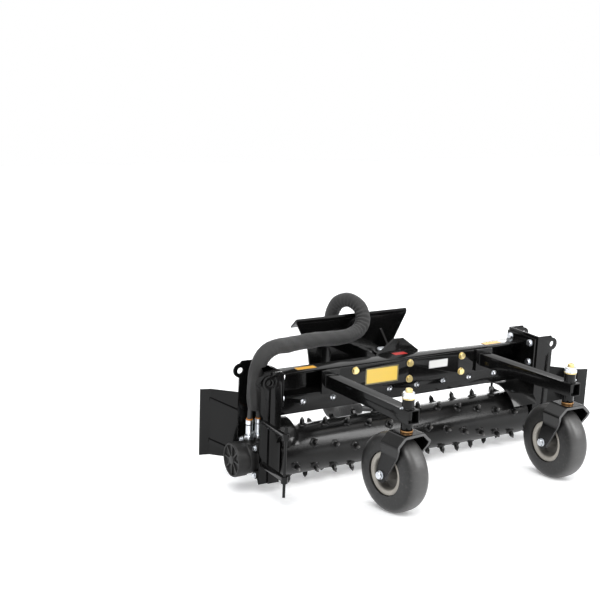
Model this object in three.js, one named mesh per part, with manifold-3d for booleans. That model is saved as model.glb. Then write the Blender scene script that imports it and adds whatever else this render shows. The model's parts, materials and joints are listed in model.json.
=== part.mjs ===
import * as THREE from "three";
import { mergeVertices } from "three/addons/utils/BufferGeometryUtils.js";
import Module from "manifold-3d";

// Power rake: a toothed drum between two side channels, carried in front by two casters.
// Millimetres. X runs along the drum (motor end at -X), Y to the rear, Z up.
// The working frame has its origin on the drum's axis, halfway between the side channels.

const wasm = await Module();
wasm.setup();

// Driving dimensions
const seat = 0.3;
const overrun = 5;
const weld = 1e-4;

const drum = { radius: 95, wall: 8, toothReach: 34, endGap: 14, headThick: 10, shaftRadius: 17 };
const tooth = { rows: 6, perRow: 13, pitch: 92, footRadius: 14, bodyRadius: 10.5, shoulder: 20, root: 5 };
const rowTurn = 1.4;

const channel = { innerX: 630, web: 10, flange: 8, front: 98, rear: 93, above: 10, bottom: 80, width: 75 };
const ear = { radius: 28, hole: 12.5, drop: 38, reach: 72 };
const webCutRadius = 48;

const beam = { front: 28, depth: 72, bottom: 226, top: 326, wall: 8 };
const beamPad = { thick: 12, setback: 7, bottom: 220, top: 350 };
const padBolt = { front: 64, rear: 62, low: 244, high: 328 };
const facePlate = { halfLength: 398, thick: 10, bottom: 224, top: 322 };
const faceBolt = { spacing: 265, low: 237, high: 304 };
const strip = { halfLength: 604, thick: 8, top: 223, bottom: 150 };
const stripBolt = { height: 193, pitch: 136.5, count: 8 };
const guard = { leftWidth: 78, rightWidth: 128, thick: 6, clearance: 8, steps: 8 };
const guardStartDeg = 62;
const guardEndDeg = 150;

const arm = { inset: 17, drop: 43, size: 50, wall: 4, endPast: 36 };
const armRiseDeg = 2.5;
const armFoot = { width: 84, height: 92, thick: 9 };
const boss = { radius: 22, bore: 14, below: 32, above: 83 };
const spindle = { y: 555, radius: 13.6, stud: 13, studAbove: 38 };
const topNut = { flats: 44, height: 21, washer: 4, washerRadius: 24 };
const thrust = { radius: 23, thick: 6.4 };

const fork = { plate: 12, flatHalf: 45, shoulderHalf: 82, shoulderDrop: 34, legHalf: 66, neckDrop: 82 };
const forkSide = { half: 45, legHalf: 28, shoulderDepth: 46 };
const wheel = { trail: 50, drop: 167, radius: 148, halfWidth: 50, crownSteps: 8, crownShare: 0.6 };
const leftCasterDeg = 7;
const rim = { flange: 80, barrel: 66, barrelIn: 59, flangeX: 43, seatX: 38, disc: 4, bead: 1.5 };
const hub = { radius: 25, half: 52 };
const axle = { radius: 8, headFlats: 26, headHeight: 10, washer: 3, washerRadius: 16 };

const motor = { radius: 62, flangeHalf: 78, flangeThick: 12, length: 84, socket: 22 };
const motorCap = { radius: 67, length: 50, rimWall: 9, recess: 9, hubRadius: 17, ribs: 8, ribWidth: 6 };
const port = { first: 32, second: 72, radius: 17, height: 74 };
const fitting = { nutFlats: 34, nutHeight: 16, neckRadius: 9, neck: 5 };
const ferrule = { radius: 14, length: 40 };
const bearing = { radius: 56, thick: 10, hubRadius: 36, hubLength: 26 };

const endPlate = { startX: 700, startBack: 12, foldX: 785, foldBack: 97, tipX: 824, tipBack: 107 };
const endPlateSheet = { thick: 6, top: 227, bottom: -45 };
const plateBar = { height: 16, thick: 8, upper: 136, lower: -35, rise: 38 };
const hinge = { x: 707, reach: 173, barSize: 16, upper: 173, lower: 7, eyeRadius: 13, eyeHeight: 26 };
const hingePin = { radius: 6, top: 212, bottom: -62 };

const hitch = { pivotY: 158, plateThick: 12, plateHalf: 72, lower: 236, throat: 52, eyeRadius: 44 };
const pivotPin = { radius: 16, headRadius: 24, headHeight: 8 };
const hitchBack = { thick: 12, bottomHalf: 102, topHalf: 22, bottom: 228, neck: 326, top: 385 };
const tongue = { half: 52, rear: 392 };
const receiver = { halfTop: 285, halfBottom: 196, kneeHalf: 226, kneeDrop: 112 };
const receiverSheet = { thick: 10, top: 388, bottom: 96 };
const hook = { depth: 44, drop: 30, thick: 8, rise: 12, bend: 2 };
const rib = { x: 150, thick: 10, depth: 62 };

const sleeve = { radius: 33, sides: 10, steps: 30 };
const hose = { radius: 10, sides: 8, spread: 14, stub: 60, steps: 8 };
const hoseEnd = { tail: 120, lift: 2, landing: 24, part: 34 };
const coupler = { radius: 19, length: 92, collar: 23, collarLength: 26, nose: 13 };

const groundGap = 0.3;

// How many flats stand for a round, and a hexagon's six
const round = { drum: 32, wheel: 24, motor: 20, turned: 16, bolt: 8 };
const hex = 6;
const curveSteps = 5;

// Finishes
const finishes = {
  frameBlack: [0x17181a, 0.42, 0.35],
  wearBlack: [0x222326, 0.5, 0.55],
  zinc: [0xc6cbd0, 0.32, 0.85],
  yellowZinc: [0xc8a65a, 0.35, 0.8],
  bronze: [0xb8763c, 0.4, 0.8],
  rimGrey: [0xb3b0a6, 0.55, 0.25],
  rubber: [0x2c2c2e, 0.75, 0],
  hose: [0x26272a, 0.85, 0],
  cap: [0x2a2b2e, 0.55, 0.2],
};

function material(name) {
  const [color, roughness, metalness] = finishes[name];
  return new THREE.MeshStandardMaterial({ color, roughness, metalness });
}

// Turns any closed three.js geometry into an outward-facing solid for joining and cutting.
function solidOf(geometry) {
  const bare = new THREE.BufferGeometry();
  bare.setAttribute("position", geometry.attributes.position);
  bare.setIndex(geometry.index);
  const merged = mergeVertices(bare, weld);
  const place = merged.attributes.position.array;
  const corner = (i) => new THREE.Vector3(place[3 * i], place[3 * i + 1], place[3 * i + 2]);
  const kept = [];
  let volume = 0;
  for (let i = 0; i < merged.index.count; i += 3) {
    const [a, b, c] = [merged.index.getX(i), merged.index.getX(i + 1), merged.index.getX(i + 2)];
    if (a === b || b === c || c === a) continue;
    kept.push([a, b, c]);
    volume += corner(a).dot(corner(b).cross(corner(c)));
  }
  const facing = volume < 0 ? kept.map(([a, b, c]) => [a, c, b]) : kept;
  const triVerts = Uint32Array.from(facing.flat());
  return new wasm.Manifold(new wasm.Mesh({ numProp: 3, vertProperties: Float32Array.from(place), triVerts }));
}

function geometryOf(solid) {
  const mesh = solid.getMesh();
  const geometry = new THREE.BufferGeometry();
  geometry.setAttribute("position", new THREE.BufferAttribute(Float32Array.from(mesh.vertProperties), 3));
  geometry.setIndex(new THREE.BufferAttribute(Uint32Array.from(mesh.triVerts), 1));
  geometry.computeVertexNormals();
  return geometry;
}

function joined(...geometries) {
  return geometries.map(solidOf).reduce((sum, part) => sum.add(part));
}

function cut(solid, ...geometries) {
  return geometries.map(solidOf).reduce((rest, part) => rest.subtract(part), solid);
}

// Outlines
function outline(points) {
  return new THREE.Shape(points.map(([u, v]) => new THREE.Vector2(u, v)));
}

function rectangle(u0, v0, u1, v1) {
  return outline([[u0, v0], [u1, v0], [u1, v1], [u0, v1]]);
}

function pulled(shape, depth) {
  return new THREE.ExtrudeGeometry(shape, { depth, bevelEnabled: false, curveSegments: curveSteps });
}

// An outline in Y and Z, pulled along X from x0 to x1.
function alongX(shape, x0, x1) {
  const body = pulled(shape, x1 - x0);
  body.applyMatrix4(new THREE.Matrix4().makeBasis(
    new THREE.Vector3(0, 1, 0), new THREE.Vector3(0, 0, 1), new THREE.Vector3(1, 0, 0)));
  return body.translate(x0, 0, 0);
}

// An outline in X and Z, pulled along Y from y0 to y1.
function alongY(shape, y0, y1) {
  return pulled(shape, y1 - y0).rotateX(Math.PI / 2).translate(0, y1, 0);
}

// An outline in X and Y, pulled along Z from z0 to z1.
function alongZ(shape, z0, z1) {
  return pulled(shape, z1 - z0).translate(0, 0, z0);
}

function rodX(radius, x0, x1, sides) {
  const body = new THREE.CylinderGeometry(radius, radius, x1 - x0, sides);
  return body.rotateZ(Math.PI / 2).translate((x0 + x1) / 2, 0, 0);
}

function rodY(radius, y0, y1, sides) {
  return new THREE.CylinderGeometry(radius, radius, y1 - y0, sides).translate(0, (y0 + y1) / 2, 0);
}

function rodZ(radius, z0, z1, sides) {
  const body = new THREE.CylinderGeometry(radius, radius, z1 - z0, sides);
  return body.rotateX(Math.PI / 2).translate(0, 0, (z0 + z1) / 2);
}

// A profile of [radius, height] pairs turned about the Z axis.
function turnedZ(profile, sides) {
  const points = profile.map(([r, h]) => new THREE.Vector2(r, h));
  return new THREE.LatheGeometry(points, sides).rotateX(Math.PI / 2);
}

function turnedX(profile, sides) {
  return turnedZ(profile, sides).rotateY(Math.PI / 2);
}

// A hexagon's corner radius from its width across flats.
function hexRadius(flats) {
  return flats / Math.sqrt(3);
}

// The corner radius of a hole whose flats clear a turned shaft's corners.
function holeRadius(radius) {
  return (radius + seat) / Math.cos(Math.PI / round.turned);
}

// A hexagon head with a round washer under it, standing on Z = 0 and pointing up.
function headZ({ flats, height, washerRadius, washer }) {
  const hexagon = rodZ(hexRadius(flats), washer / 2, washer + height, hex);
  return joined(hexagon, rodZ(washerRadius, 0, washer, round.bolt));
}

// The casters hang from the arms, and the arms from the face plate.
const armX = facePlate.halfLength - arm.inset;
const armHeight = facePlate.top - arm.drop;
const bossBottom = armHeight - boss.below;
const bossTop = armHeight + boss.above;
const forkTop = bossBottom - seat - thrust.thick - seat;
const axleHeight = forkTop - wheel.drop;

// The nose-down tilt that sets tyres and tooth tips on one floor.
const tipRadius = drum.radius + drum.toothReach;
const floorDrop = tipRadius + groundGap;
const axleY = wheel.trail - spindle.y;
const axleAngle = Math.atan2(axleHeight, axleY);
const tilt = Math.PI - axleAngle - Math.asin((wheel.radius - floorDrop) / Math.hypot(axleY, axleHeight));

const rake = new THREE.Group();
const machine = new THREE.Group();
machine.rotation.x = tilt;
rake.add(machine);

function add(parent, name, finish, shape) {
  const geometry = shape.isBufferGeometry ? geometryOf(solidOf(shape)) : geometryOf(shape);
  const mesh = new THREE.Mesh(geometry, material(finish));
  mesh.name = name;
  parent.add(mesh);
  return mesh;
}

const ends = [["left", -1], ["right", 1]];
const webOut = channel.innerX + channel.web;
const flangeEdge = webOut + channel.width;
const channelTop = beamPad.top + channel.above;

// Side channels, open to the outside, with a round ear on each flange
function sideChannel(side) {
  const section = outline([
    [side * channel.innerX, -channel.front],
    [side * flangeEdge, -channel.front],
    [side * flangeEdge, -channel.front + channel.flange],
    [side * webOut, -channel.front + channel.flange],
    [side * webOut, channel.rear - channel.flange],
    [side * flangeEdge, channel.rear - channel.flange],
    [side * flangeEdge, channel.rear],
    [side * channel.innerX, channel.rear],
  ]);
  let body = solidOf(alongZ(section, -channel.bottom, channelTop));
  const earX = side * (webOut + ear.reach);
  const earZ = channelTop - ear.drop;
  for (const y of [-channel.front, channel.rear - channel.flange]) {
    body = body.add(solidOf(rodY(ear.radius, y, y + channel.flange, round.turned).translate(earX, 0, earZ)));
    const corner = outline([
      [earX - side * ear.hole, channelTop + overrun],
      [flangeEdge * side + side * overrun, channelTop + overrun],
      [flangeEdge * side + side * overrun, earZ + ear.radius],
      [earX, earZ + ear.radius],
    ]);
    body = cut(body, alongY(corner, y - overrun, y + channel.flange + overrun));
  }
  const earHole = rodY(ear.hole, -channel.front - overrun, channel.rear + overrun, round.turned);
  body = cut(body, earHole.translate(earX, 0, earZ));
  const [holeStart, holeEnd] = [side * (channel.innerX - overrun), side * (webOut + overrun)];
  return cut(body, rodX(webCutRadius, holeStart, holeEnd, round.turned));
}

for (const [name, side] of ends) {
  add(machine, `side_channel_${name}`, "frameBlack", sideChannel(side));
}

// Cross beam, a channel open to the front, bolted to the webs through end pads
const beamRear = beam.depth - beam.front;
const padInner = channel.innerX - seat - beamPad.thick;
const beamEnd = padInner - seat;
const beamSection = outline([
  [-beam.front, beam.bottom],
  [beamRear, beam.bottom],
  [beamRear, beam.top],
  [-beam.front, beam.top],
  [-beam.front, beam.top - beam.wall],
  [beamRear - beam.wall, beam.top - beam.wall],
  [beamRear - beam.wall, beam.bottom + beam.wall],
  [-beam.front, beam.bottom + beam.wall],
]);
add(machine, "cross_beam", "frameBlack", alongX(beamSection, -beamEnd, beamEnd));

const padFront = channel.front - beamPad.setback;
const padRear = channel.rear - beamPad.setback;
const boltSpots = [
  [-padBolt.front, padBolt.low],
  [-padBolt.front, padBolt.high],
  [padBolt.rear, padBolt.low],
  [padBolt.rear, padBolt.high],
];
const padBoltHead = { flats: 24, height: 9, washerRadius: 15, washer: 3 };
for (const [name, side] of ends) {
  const pad = rectangle(-padFront, beamPad.bottom, padRear, beamPad.top);
  const padOuter = padInner + beamPad.thick;
  const [near, far] = side < 0 ? [-padOuter, -padInner] : [padInner, padOuter];
  const heads = boltSpots.map(([y, z]) => {
    const shape = geometryOf(headZ(padBoltHead)).rotateY(-side * Math.PI / 2);
    return shape.translate(side * (padInner + seat), y, z);
  });
  add(machine, `beam_pad_${name}`, "frameBlack", joined(alongX(pad, near, far), ...heads));
}

// Face plate over the middle of the beam, and its bolts
const faceBack = -beam.front - seat;
const faceFront = faceBack - facePlate.thick;
const faceHalf = facePlate.halfLength;
const facePlateOutline = rectangle(-faceHalf, facePlate.bottom, faceHalf, facePlate.top);
const faceBoltHead = { flats: 24, height: 8, washerRadius: 15, washer: 3 };
const faceHeads = [];
for (const column of [-1, 0, 1]) {
  for (const height of [faceBolt.low, faceBolt.high]) {
    const shape = geometryOf(headZ(faceBoltHead)).rotateX(Math.PI / 2);
    faceHeads.push(shape.translate(column * faceBolt.spacing, faceFront + seat, height));
  }
}
add(machine, "face_plate", "frameBlack", joined(alongY(facePlateOutline, faceFront, faceBack), ...faceHeads));

// Deflector strip under the beam's front lip, with its domed bolts
const stripFront = -strip.thick / 2;
const hangerTop = beam.bottom - seat;
const hangerDepth = 30;
const hanger = outline([
  [stripFront + strip.thick + seat, stripBolt.height - hangerDepth / 2],
  [stripFront + strip.thick * 2 + seat, stripBolt.height - hangerDepth / 2],
  [stripFront + strip.thick * 2 + seat, hangerTop - strip.thick],
  [stripFront + strip.thick * 2 + hangerDepth, hangerTop - strip.thick],
  [stripFront + strip.thick * 2 + hangerDepth, hangerTop],
  [stripFront + strip.thick + seat, hangerTop],
]);
add(machine, "strip_hanger", "frameBlack", alongX(hanger, -strip.halfLength, strip.halfLength));
const stripOutline = rectangle(-strip.halfLength, strip.bottom, strip.halfLength, strip.top);
const domeBolt = { radius: 13, height: 8, crownShare: 0.55 };
const domes = [];
for (let i = 0; i < stripBolt.count; i += 1) {
  const profile = [
    [0, 0],
    [domeBolt.radius, 0],
    [domeBolt.radius, domeBolt.height / 4],
    [domeBolt.radius * domeBolt.crownShare, domeBolt.height],
    [0, domeBolt.height],
  ];
  const dome = turnedZ(profile, round.bolt).rotateX(Math.PI / 2);
  const x = (i - (stripBolt.count - 1) / 2) * stripBolt.pitch;
  domes.push(dome.translate(x, stripFront + seat, stripBolt.height));
}
const stripPlate = alongY(stripOutline, stripFront, stripFront + strip.thick);
add(machine, "deflector_strip", "frameBlack", joined(stripPlate, ...domes));

// Curved guards over the drum's ends
const guardRadius = tipRadius + guard.clearance;
for (const [name, side] of ends) {
  const width = side < 0 ? guard.leftWidth : guard.rightWidth;
  const points = [];
  for (const radius of [guardRadius, guardRadius + guard.thick]) {
    const arc = [];
    for (let i = 0; i <= guard.steps; i += 1) {
      const angle = THREE.MathUtils.degToRad(guardStartDeg + (guardEndDeg - guardStartDeg) * i / guard.steps);
      arc.push([radius * Math.cos(angle), radius * Math.sin(angle)]);
    }
    points.push(...(radius === guardRadius ? arc : arc.reverse()));
  }
  const outer = side * (channel.innerX - seat);
  const inner = outer - side * width;
  const guardBody = alongX(outline(points), Math.min(inner, outer), Math.max(inner, outer));
  add(machine, `end_guard_${name}`, "frameBlack", guardBody);
}

// Toothed drum: an open tube with rows of pointed teeth welded on in a slow helix
const drumHalf = channel.innerX - drum.endGap;
function toothShape() {
  const profile = [
    [0, drum.radius - tooth.root],
    [tooth.footRadius, drum.radius - tooth.root],
    [tooth.bodyRadius, drum.radius + tooth.shoulder],
    [0, tipRadius],
  ];
  return turnedZ(profile, hex);
}

let drumBody = joined(rodX(drum.radius, -drumHalf, drumHalf, round.drum));
const teeth = [];
for (let row = 0; row < tooth.rows; row += 1) {
  for (let i = 0; i < tooth.perRow; i += 1) {
    const x = (i - (tooth.perRow - 1) / 2) * tooth.pitch + (row / tooth.rows - 0.5) * tooth.pitch / 2;
    const turn = 2 * Math.PI * row / tooth.rows + rowTurn * x / drumHalf;
    teeth.push(toothShape().rotateX(turn).translate(x, 0, 0));
  }
}
drumBody = drumBody.add(joined(...teeth));
drumBody = cut(drumBody, rodX(drum.radius - drum.wall, -drumHalf - overrun, drumHalf + overrun, round.drum));
add(machine, "toothed_drum", "wearBlack", drumBody);

const flangeFace = webOut + seat + motor.flangeThick;
const shaftEndLeft = flangeFace + motor.socket - seat;
const shaftEndRight = webOut + seat + bearing.hubLength - seat;
for (const [name, side] of ends) {
  const reach = side < 0 ? shaftEndLeft : shaftEndRight;
  const face = drumHalf - drum.headThick;
  const profile = [
    [0, face - drum.headThick],
    [drum.radius - drum.wall - seat, face - drum.headThick],
    [drum.radius - drum.wall - seat, face],
    [drum.shaftRadius * 2, face],
    [drum.shaftRadius * 2, drumHalf],
    [drum.shaftRadius, drumHalf],
    [drum.shaftRadius, reach],
    [0, reach],
  ];
  const head = turnedX(profile, round.drum);
  add(machine, `drum_end_${name}`, "wearBlack", side < 0 ? head.rotateZ(Math.PI) : head);
}

// Hydraulic motor on the left web, with a ribbed end cap
const bodyStart = flangeFace + seat;
const bodyEnd = bodyStart + motor.length;
const capStart = bodyEnd + seat;
const capEnd = capStart + motorCap.length;
const flangeOutline = rectangle(-motor.flangeHalf, -motor.flangeHalf, motor.flangeHalf, motor.flangeHalf);
const bodyProfile = [
  [drum.shaftRadius + seat, bodyStart],
  [motor.radius, bodyStart],
  [motor.radius, bodyEnd],
  [0, bodyEnd],
  [0, flangeFace + motor.socket],
  [drum.shaftRadius + seat, flangeFace + motor.socket],
  [drum.shaftRadius + seat, bodyStart],
];
const portSpots = [port.first, port.second].map((offset) => -webOut - offset);
let motorBody = solidOf(turnedX(bodyProfile, round.motor).rotateZ(Math.PI));
for (const x of portSpots) {
  const portBoss = rodZ(port.radius, motor.radius / 2, port.height, round.turned);
  motorBody = motorBody.add(solidOf(portBoss.translate(x, 0, 0)));
}
add(machine, "motor_body", "cap", motorBody);

const capRing = [
  [0, capStart],
  [motorCap.radius, capStart],
  [motorCap.radius, capEnd],
  [motorCap.radius - motorCap.rimWall, capEnd],
  [motorCap.radius - motorCap.rimWall, capEnd - motorCap.recess],
  [motorCap.hubRadius, capEnd - motorCap.recess],
  [motorCap.hubRadius, capEnd],
  [0, capEnd],
];
let motorCapBody = solidOf(turnedX(capRing, round.motor).rotateZ(Math.PI));
for (let i = 0; i < motorCap.ribs; i += 1) {
  const ribReach = motorCap.radius - motorCap.rimWall / 2;
  const bar = rectangle(0, -motorCap.ribWidth / 2, ribReach, motorCap.ribWidth / 2);
  const shape = alongX(bar, -capEnd + motorCap.recess / 2, -capEnd + motorCap.recess * 2);
  motorCapBody = motorCapBody.add(solidOf(shape.rotateX(2 * Math.PI * i / motorCap.ribs)));
}
add(machine, "motor_cap", "cap", motorCapBody);

const plateBolt = { flats: 19, height: 8, washerRadius: 12, washer: 2.5, inset: 14 };
let mountPlate = cut(
  solidOf(alongX(flangeOutline, -flangeFace, -webOut - seat)),
  rodX(drum.shaftRadius + seat, -flangeFace - overrun, -webOut, round.motor));
for (const y of [-1, 1]) {
  for (const z of [-1, 1]) {
    const spot = motor.flangeHalf - plateBolt.inset;
    const shape = geometryOf(headZ(plateBolt)).rotateY(-Math.PI / 2);
    shape.translate(-flangeFace + seat, y * spot, z * spot);
    mountPlate = mountPlate.add(solidOf(shape));
  }
}
add(machine, "motor_plate", "frameBlack", mountPlate);

// Swaged hose ends standing on the motor's ports
const fittingTop = port.height + seat + fitting.nutHeight + ferrule.length;
portSpots.forEach((x, i) => {
  const base = port.height + seat;
  const nutTop = base + fitting.nutHeight;
  const nut = rodZ(hexRadius(fitting.nutFlats), base, nutTop, hex);
  const neck = rodZ(fitting.neckRadius, nutTop - fitting.neck, nutTop + fitting.neck * 2, round.bolt);
  const swaged = rodZ(ferrule.radius, nutTop + fitting.neck, fittingTop, round.turned);
  add(machine, `hose_fitting_${i + 1}`, "zinc", geometryOf(joined(nut, neck, swaged)).translate(x, 0, 0));
});

// Flanged bearing on the right web
const bearingBase = webOut + seat;
const bearingProfile = [
  [drum.shaftRadius + seat, bearingBase],
  [bearing.radius, bearingBase],
  [bearing.radius, bearingBase + bearing.thick],
  [bearing.hubRadius, bearingBase + bearing.thick],
  [bearing.hubRadius, bearingBase + bearing.hubLength],
  [drum.shaftRadius + seat, bearingBase + bearing.hubLength],
  [drum.shaftRadius + seat, bearingBase],
];
add(machine, "drum_bearing", "frameBlack", turnedX(bearingProfile, round.motor));

// Gauge-wheel arms with their feet on the face plate, and the casters they carry
const armRise = THREE.MathUtils.degToRad(armRiseDeg);
const footFront = faceFront - seat - armFoot.thick;
const armStart = footFront + armFoot.thick / 2;
const armEnd = -spindle.y - arm.endPast;
const spindleTop = bossTop + spindle.studAbove;
const washerTop = bossTop + seat + topNut.washer;
const nutTop = washerTop + topNut.height;

function armTube(x) {
  const outer = arm.size / 2;
  const inner = outer - arm.wall;
  const section = rectangle(-outer, -outer, outer, outer);
  section.holes.push(rectangle(-inner, -inner, inner, inner));
  const tube = alongY(section, armEnd - armStart, 0);
  tube.rotateX(-armRise).translate(x, armStart, armHeight);
  const footBottom = facePlate.top - armFoot.height;
  const foot = rectangle(x - armFoot.width / 2, footBottom, x + armFoot.width / 2, facePlate.top);
  const backCut = rectangle(x - arm.size, armHeight - arm.size, x + arm.size, armHeight + arm.size);
  const hole = rodZ(holeRadius(boss.radius), bossBottom, bossTop, round.turned).translate(x, -spindle.y, 0);
  const cleared = cut(solidOf(tube), hole, alongY(backCut, faceFront - seat, faceFront + arm.size));
  return cleared.add(solidOf(alongY(foot, footFront, faceFront - seat)));
}

// The fork is one bent strap: its front outline crossed with its side outline.
function forkBody(axleLocalY) {
  const legBottom = axleHeight - forkSide.legHalf;
  const edge = (inset) => [
    [fork.legHalf - inset, legBottom],
    [fork.legHalf - inset, forkTop - fork.neckDrop],
    [fork.shoulderHalf - inset, forkTop - fork.shoulderDrop - inset / 2],
    [fork.flatHalf - inset / 2, forkTop - inset],
  ];
  const mirror = (points) => points.map(([x, z]) => [-x, z]).reverse();
  const outer = edge(0);
  const inner = edge(fork.plate);
  const band = outline([...outer, ...mirror(outer), ...mirror(inner).reverse(), ...inner.reverse()]);
  const front = solidOf(alongY(band, -forkSide.half * 2, forkSide.half * 3));
  const side = new THREE.Shape();
  side.moveTo(-forkSide.half, forkTop + overrun);
  side.lineTo(-forkSide.half, forkTop - forkSide.shoulderDepth);
  side.lineTo(axleLocalY - forkSide.legHalf, axleHeight);
  side.absarc(axleLocalY, axleHeight, forkSide.legHalf, Math.PI, 2 * Math.PI, false);
  side.lineTo(forkSide.half, forkTop - forkSide.shoulderDepth);
  side.lineTo(forkSide.half, forkTop + overrun);
  const reach = fork.shoulderHalf + overrun;
  const strap = front.intersect(solidOf(alongX(side, -reach, reach)));
  return cut(strap, rodX(axle.radius + seat, -reach, reach, round.bolt).translate(0, axleLocalY, axleHeight));
}

for (const [name, side] of ends) {
  const x = side * armX;
  add(machine, `wheel_arm_${name}`, "frameBlack", armTube(x));

  const caster = new THREE.Group();
  caster.position.set(x, -spindle.y, 0);
  caster.rotation.z = side < 0 ? THREE.MathUtils.degToRad(leftCasterDeg) : 0;
  machine.add(caster);
  const tube = [
    [boss.bore, bossBottom],
    [boss.radius, bossBottom],
    [boss.radius, bossTop],
    [boss.bore, bossTop],
    [boss.bore, bossBottom],
  ];
  add(caster, `spindle_boss_${name}`, "frameBlack", turnedZ(tube, round.turned));

  const ring = (radius, z0, z1) => [
    [boss.bore, z0],
    [radius, z0],
    [radius, z1],
    [boss.bore, z1],
    [boss.bore, z0],
  ];
  const washerRing = ring(thrust.radius, forkTop + seat, bossBottom - seat);
  add(caster, `thrust_washer_${name}`, "bronze", turnedZ(washerRing, round.turned));

  const stem = [
    [0, forkTop - fork.plate],
    [spindle.radius - seat, forkTop - fork.plate],
    [spindle.radius - seat, bossTop],
    [spindle.stud, bossTop],
    [spindle.stud, spindleTop],
    [0, spindleTop],
  ];
  add(caster, `spindle_${name}`, "yellowZinc", turnedZ(stem, round.turned));

  const nutRing = (radius, z0, z1, sides) => turnedZ([
    [spindle.stud + seat, z0],
    [radius, z0],
    [radius, z1],
    [spindle.stud + seat, z1],
    [spindle.stud + seat, z0],
  ], sides);
  const washer = nutRing(topNut.washerRadius, bossTop + seat, washerTop, round.turned);
  add(caster, `spindle_washer_${name}`, "yellowZinc", washer);
  const nutBody = cut(
    joined(rodZ(hexRadius(topNut.flats), washerTop + seat, nutTop - topNut.height / 3, hex),
      rodZ(topNut.flats / 2 - seat, nutTop - topNut.height / 2, nutTop, round.turned)),
    rodZ(spindle.stud + seat, washerTop, nutTop + overrun, round.turned));
  add(caster, `spindle_nut_${name}`, "zinc", nutBody);

  const stemHole = rodZ(spindle.radius, forkTop - fork.plate - overrun, forkTop + overrun, round.turned);
  add(caster, `caster_fork_${name}`, "frameBlack", cut(forkBody(wheel.trail), stemHole));

  const hubGap = fork.legHalf - fork.plate;
  const headFoot = fork.legHalf + axle.washer;
  const bolt = joined(
    rodX(axle.radius, -fork.legHalf - overrun, fork.legHalf + overrun, round.bolt),
    rodX(axle.washerRadius, -fork.legHalf - seat - axle.washer, -fork.legHalf - seat, round.bolt),
    rodX(axle.washerRadius, fork.legHalf + seat, fork.legHalf + seat + axle.washer, round.bolt),
    rodX(hexRadius(axle.headFlats), -headFoot - axle.headHeight, -headFoot, hex),
    rodX(hexRadius(axle.headFlats), headFoot, headFoot + axle.headHeight, hex));
  add(caster, `axle_bolt_${name}`, "zinc", geometryOf(bolt).translate(0, wheel.trail, axleHeight));

  const wheelGroup = new THREE.Group();
  wheelGroup.position.set(0, wheel.trail, axleHeight);
  wheelGroup.rotation.x = -tilt;
  caster.add(wheelGroup);
  const hubHalf = Math.min(hub.half, hubGap - seat);
  const halfRim = [
    [axle.radius + seat, -hubHalf],
    [hub.radius, -hubHalf],
    [hub.radius, -rim.disc],
    [rim.barrelIn, -rim.disc],
    [rim.barrelIn, -rim.flangeX],
    [rim.flange, -rim.flangeX],
    [rim.flange, -rim.seatX],
    [rim.barrel, -rim.seatX],
  ];
  const rimProfile = [...halfRim, ...halfRim.map(([r, h]) => [r, -h]).reverse(), halfRim[0]];
  add(wheelGroup, `wheel_rim_${name}`, "rimGrey", turnedX(rimProfile, round.wheel));

  // Smooth tyre: a rounded square section that stands on the rim's flanges
  const base = rim.flange + rim.bead;
  const crown = [];
  for (let i = 0; i <= wheel.crownSteps; i += 1) {
    const angle = Math.PI * (i / wheel.crownSteps - 0.5);
    const across = Math.sign(Math.sin(angle)) * Math.abs(Math.sin(angle)) ** wheel.crownShare;
    const out = Math.abs(Math.cos(angle)) ** wheel.crownShare;
    crown.push([base + (wheel.radius - base) * out, wheel.halfWidth * across]);
  }
  const bead = rim.seatX - seat;
  const tyreProfile = [
    [rim.barrel + seat, -bead],
    [base, -bead],
    ...crown,
    [base, bead],
    [rim.barrel + seat, bead],
    [rim.barrel + seat, -bead],
  ];
  add(wheelGroup, `tyre_${name}`, "rubber", turnedX(tyreProfile, round.wheel));
}

// Bent end plates on flat bars: behind the left channel, and in front of the right one
function flatAt(points, z0, z1) {
  return alongZ(outline(points), z0, z1);
}

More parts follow.
